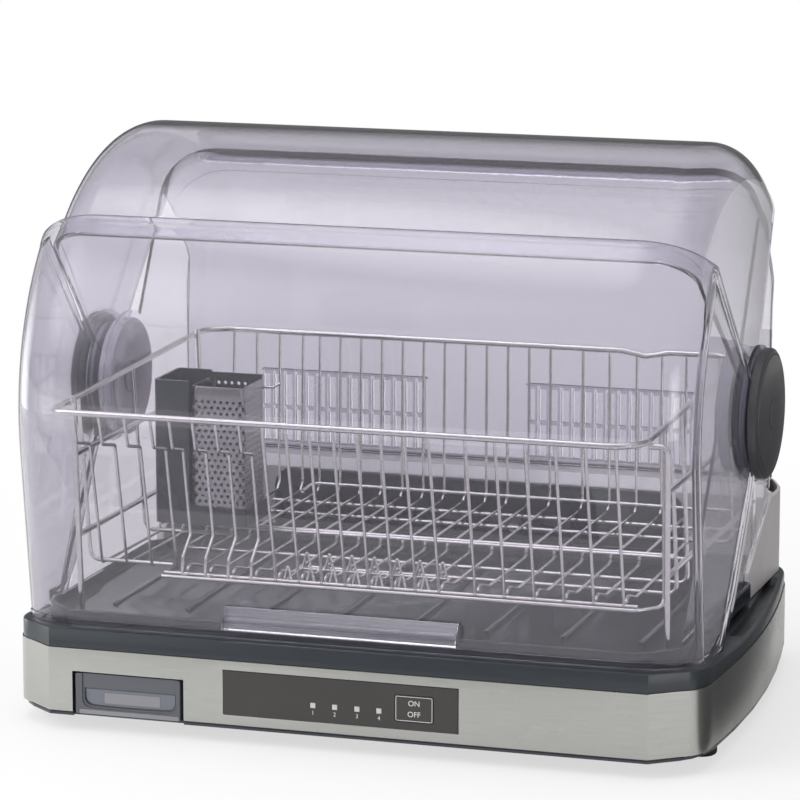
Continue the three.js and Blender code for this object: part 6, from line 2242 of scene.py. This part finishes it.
class Panel(Maker):
    """Dark control panel with four numbered lamps and one button."""

    sizes = PanelSizes()

    def text(self, name: str, words: str, size: float, x: float, z: float, y: float, body: str) -> None:
        """One line of raised print, centred on a place of the panel's face.

        Args:
            name: The new item's name.
            words: What it says.
            size: Height of the letters.
            x: Its place or its two places in X.
            z: Its place in Z.
            y: Its place in Y.
            body: The body that it rides on.
        """
        curve = bpy.data.curves.new(name, "FONT")
        curve.body = words
        curve.size = size * MM
        curve.align_x, curve.align_y = "CENTER", "CENTER"
        curve.extrude = 0.03 * MM
        thing = bpy.data.objects.new(name, curve)
        bpy.context.scene.collection.objects.link(thing)
        bpy.context.view_layer.update()
        mesh = bpy.data.meshes.new_from_object(thing)
        bpy.data.objects.remove(thing)
        mesh.transform(Matrix.Translation((x * MM, y * MM, z * MM)) @ Matrix.Rotation(math.pi / 2, 4, "X"))
        made = bpy.data.objects.new(name, mesh)
        bpy.context.scene.collection.objects.link(made)
        self.settle(made, body, Slot.INK)

    def build(self) -> None:
        """Builds the panel, lamps, button and print."""
        size = self.sizes
        x, z = size.x, size.z
        outline = rounded(corners(x, z), 0.9, 3)
        face = prism("panel_face", outline, Axis.Y, *size.y)
        half = size.lamp / 2
        hole = half + size.lamp_gap
        cuts = [block("cut", (lx - hole, lx + hole), size.cut_y, (size.lamp_z - hole, size.lamp_z + hole))
                for lx in size.lamps]
        bx, bz = size.button_x, size.button_z
        key = rounded(corners(bx, bz), 2.0, 4)
        cuts.append(prism("cut", offset_path(key, -0.25, True), Axis.Y, *size.cut_y))
        self.settle(eased(carved(face, cuts), 0.3, 2), "base", Slot.PANEL, "control_panel")
        for i, lx in enumerate(size.lamps):
            node = f"lamp_lens_{i + 1}"
            depth = (size.lamp_front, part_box(node)[1].y / MM)
            lens = block(f"lamp_window_{i + 1}", (lx - half, lx + half), depth,
                         (size.lamp_z - half, size.lamp_z + half))
            self.settle(eased(lens, 0.2, 2), "base", Slot.LAMP, node)
            self.text(f"lamp_number_{i + 1}", str(i + 1), size.number, lx, size.lamp_z - size.number_drop,
                      size.number_y, "base")
        button = prism("button_face", offset_path(key, 0.05, True), Axis.Y, *size.button_y)
        self.settle(eased(button, 0.3, 2), "power_button", Slot.PANEL, "power_button")
        frame = offset_path(key, size.line_inset, True)
        within = offset_path(frame, size.line_wide, True)
        front, back = [[[(a, y, b), (c, y, d)] for (a, b), (c, d) in zip(frame, within)] for y in size.line_y]
        self.settle(walled("button_line", front, back, True), "power_button", Slot.INK)
        middle = (bx[0] + bx[1]) / 2
        for word, z in size.words:
            self.text(f"button_{word.lower()}", word, size.word, middle, z, size.word_y, "power_button")


class RearBody(Maker):
    """Grey body behind the dish space, its dark seal, which also paints the shadow in the gap under the rear
    cover, and the dark duct panel.
    """

    seal_y: Flat = (167.5, 176.0)
    seal_z: Flat = (142.25, 143.1)
    seal_end: Flat = (198.0, 228.0)
    seal_top: float = 145.5
    fascia: tuple[Flat, Flat, Flat] = ((-226.0, 226.0), (147.4, 148.2), (131.6, 141.4))
    sensor: Point = (29.8, 145.1, 95.6)
    sensor_half: Flat = (3.6, 3.0)
    eye: Point = (-122.7, 148.0, 137.6)
    eye_half: Flat = (3.1, 1.5)

    def build(self) -> None:
        """Builds the pieces from the frame with rounded edges, the seal and a small sensor window."""
        for node, name, body, width in (("rear_housing", "rear_body", "base", 1.2),
                                        ("duct_panel", "duct_front", "base", 2.2),
                                        ("cord_inlet", "cord_bush", "base", 0.4),
                                        ("air_filter", "filter_frame", "air_filter", 0.4)):
            self.settle(softened(node, name, width, 3), body, self.slot_of(node), node)
        slot = self.slot_of("housing_gasket")
        # The seal and its raised ends are dark: a seal that also paints the shadow in the gap between the
        # housing and the rear cover.
        low, high = self.seal_end
        strip = block("rear_seal", (-high, high), self.seal_y, self.seal_z)
        self.settle(eased(strip, 0.3, 2), "base", slot, "housing_gasket")
        for side, ends in (("left", (-high, -low)), ("right", (low, high))):
            end = block(f"{side}_seal_end", ends, self.seal_y, (self.seal_z[1] - 0.1, self.seal_top))
            self.settle(eased(end, 0.5, 2), "base", slot)
        # A pale, faintly glowing strip on the housing's front: painted light on that strip.
        (low, high), (near, far), (under, over) = self.fascia
        fascia = prism("housing_fascia", rounded(corners((low, high), (under, over)), 1.0, 3), Axis.Y, near,
                       far)
        self.settle(fascia, "base", Slot.GREY, look=Look.FASCIA)
        x, y, z = self.sensor
        across, up = self.sensor_half
        window = prism("sensor_window", rounded([(x - across, z - up), (x + across, z - up),
                                                 (x + across, z + up), (x - across, z + up)], 0.8, 3),
                       Axis.Y, y - 0.5, y + 0.4)
        self.settle(eased(window, 0.2, 2), "base", Slot.GREY)
        oval = [(self.eye[0] + self.eye_half[0] * math.cos(t), self.eye[2] + self.eye_half[1] * math.sin(t))
                for t in spread(0.0, 2 * math.pi, 24)[:-1]]
        self.settle(eased(prism("dark_window", oval, Axis.Y, self.eye[1] - 0.3, self.eye[1] + 0.5), 0.15,
                          1), "base", Slot.TRIM)

    def slot_of(self, node: str) -> Slot:
        """The record's slot for a node."""
        return Slot(next(p["material_slot"] for p in self.frame["record"]["subparts"] if p["node"] == node))


def main() -> None:
    """Builds the camera, the studio and every sub-assembly in order."""
    logging.basicConfig(level=logging.INFO, format="%(name)s: %(message)s")
    Camera().build()
    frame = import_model()
    Studio().build()
    finishes = Finishes()
    finishes.dress_frame(frame)
    for maker in (Base, DripFloor, Drawer, Panel, RearBody, RearCover, TopLid, FrontLid, Pivots, Basket,
                  Stands, CutleryHolder):
        maker(finishes, frame).build()


if __name__ == "__main__":
    main()
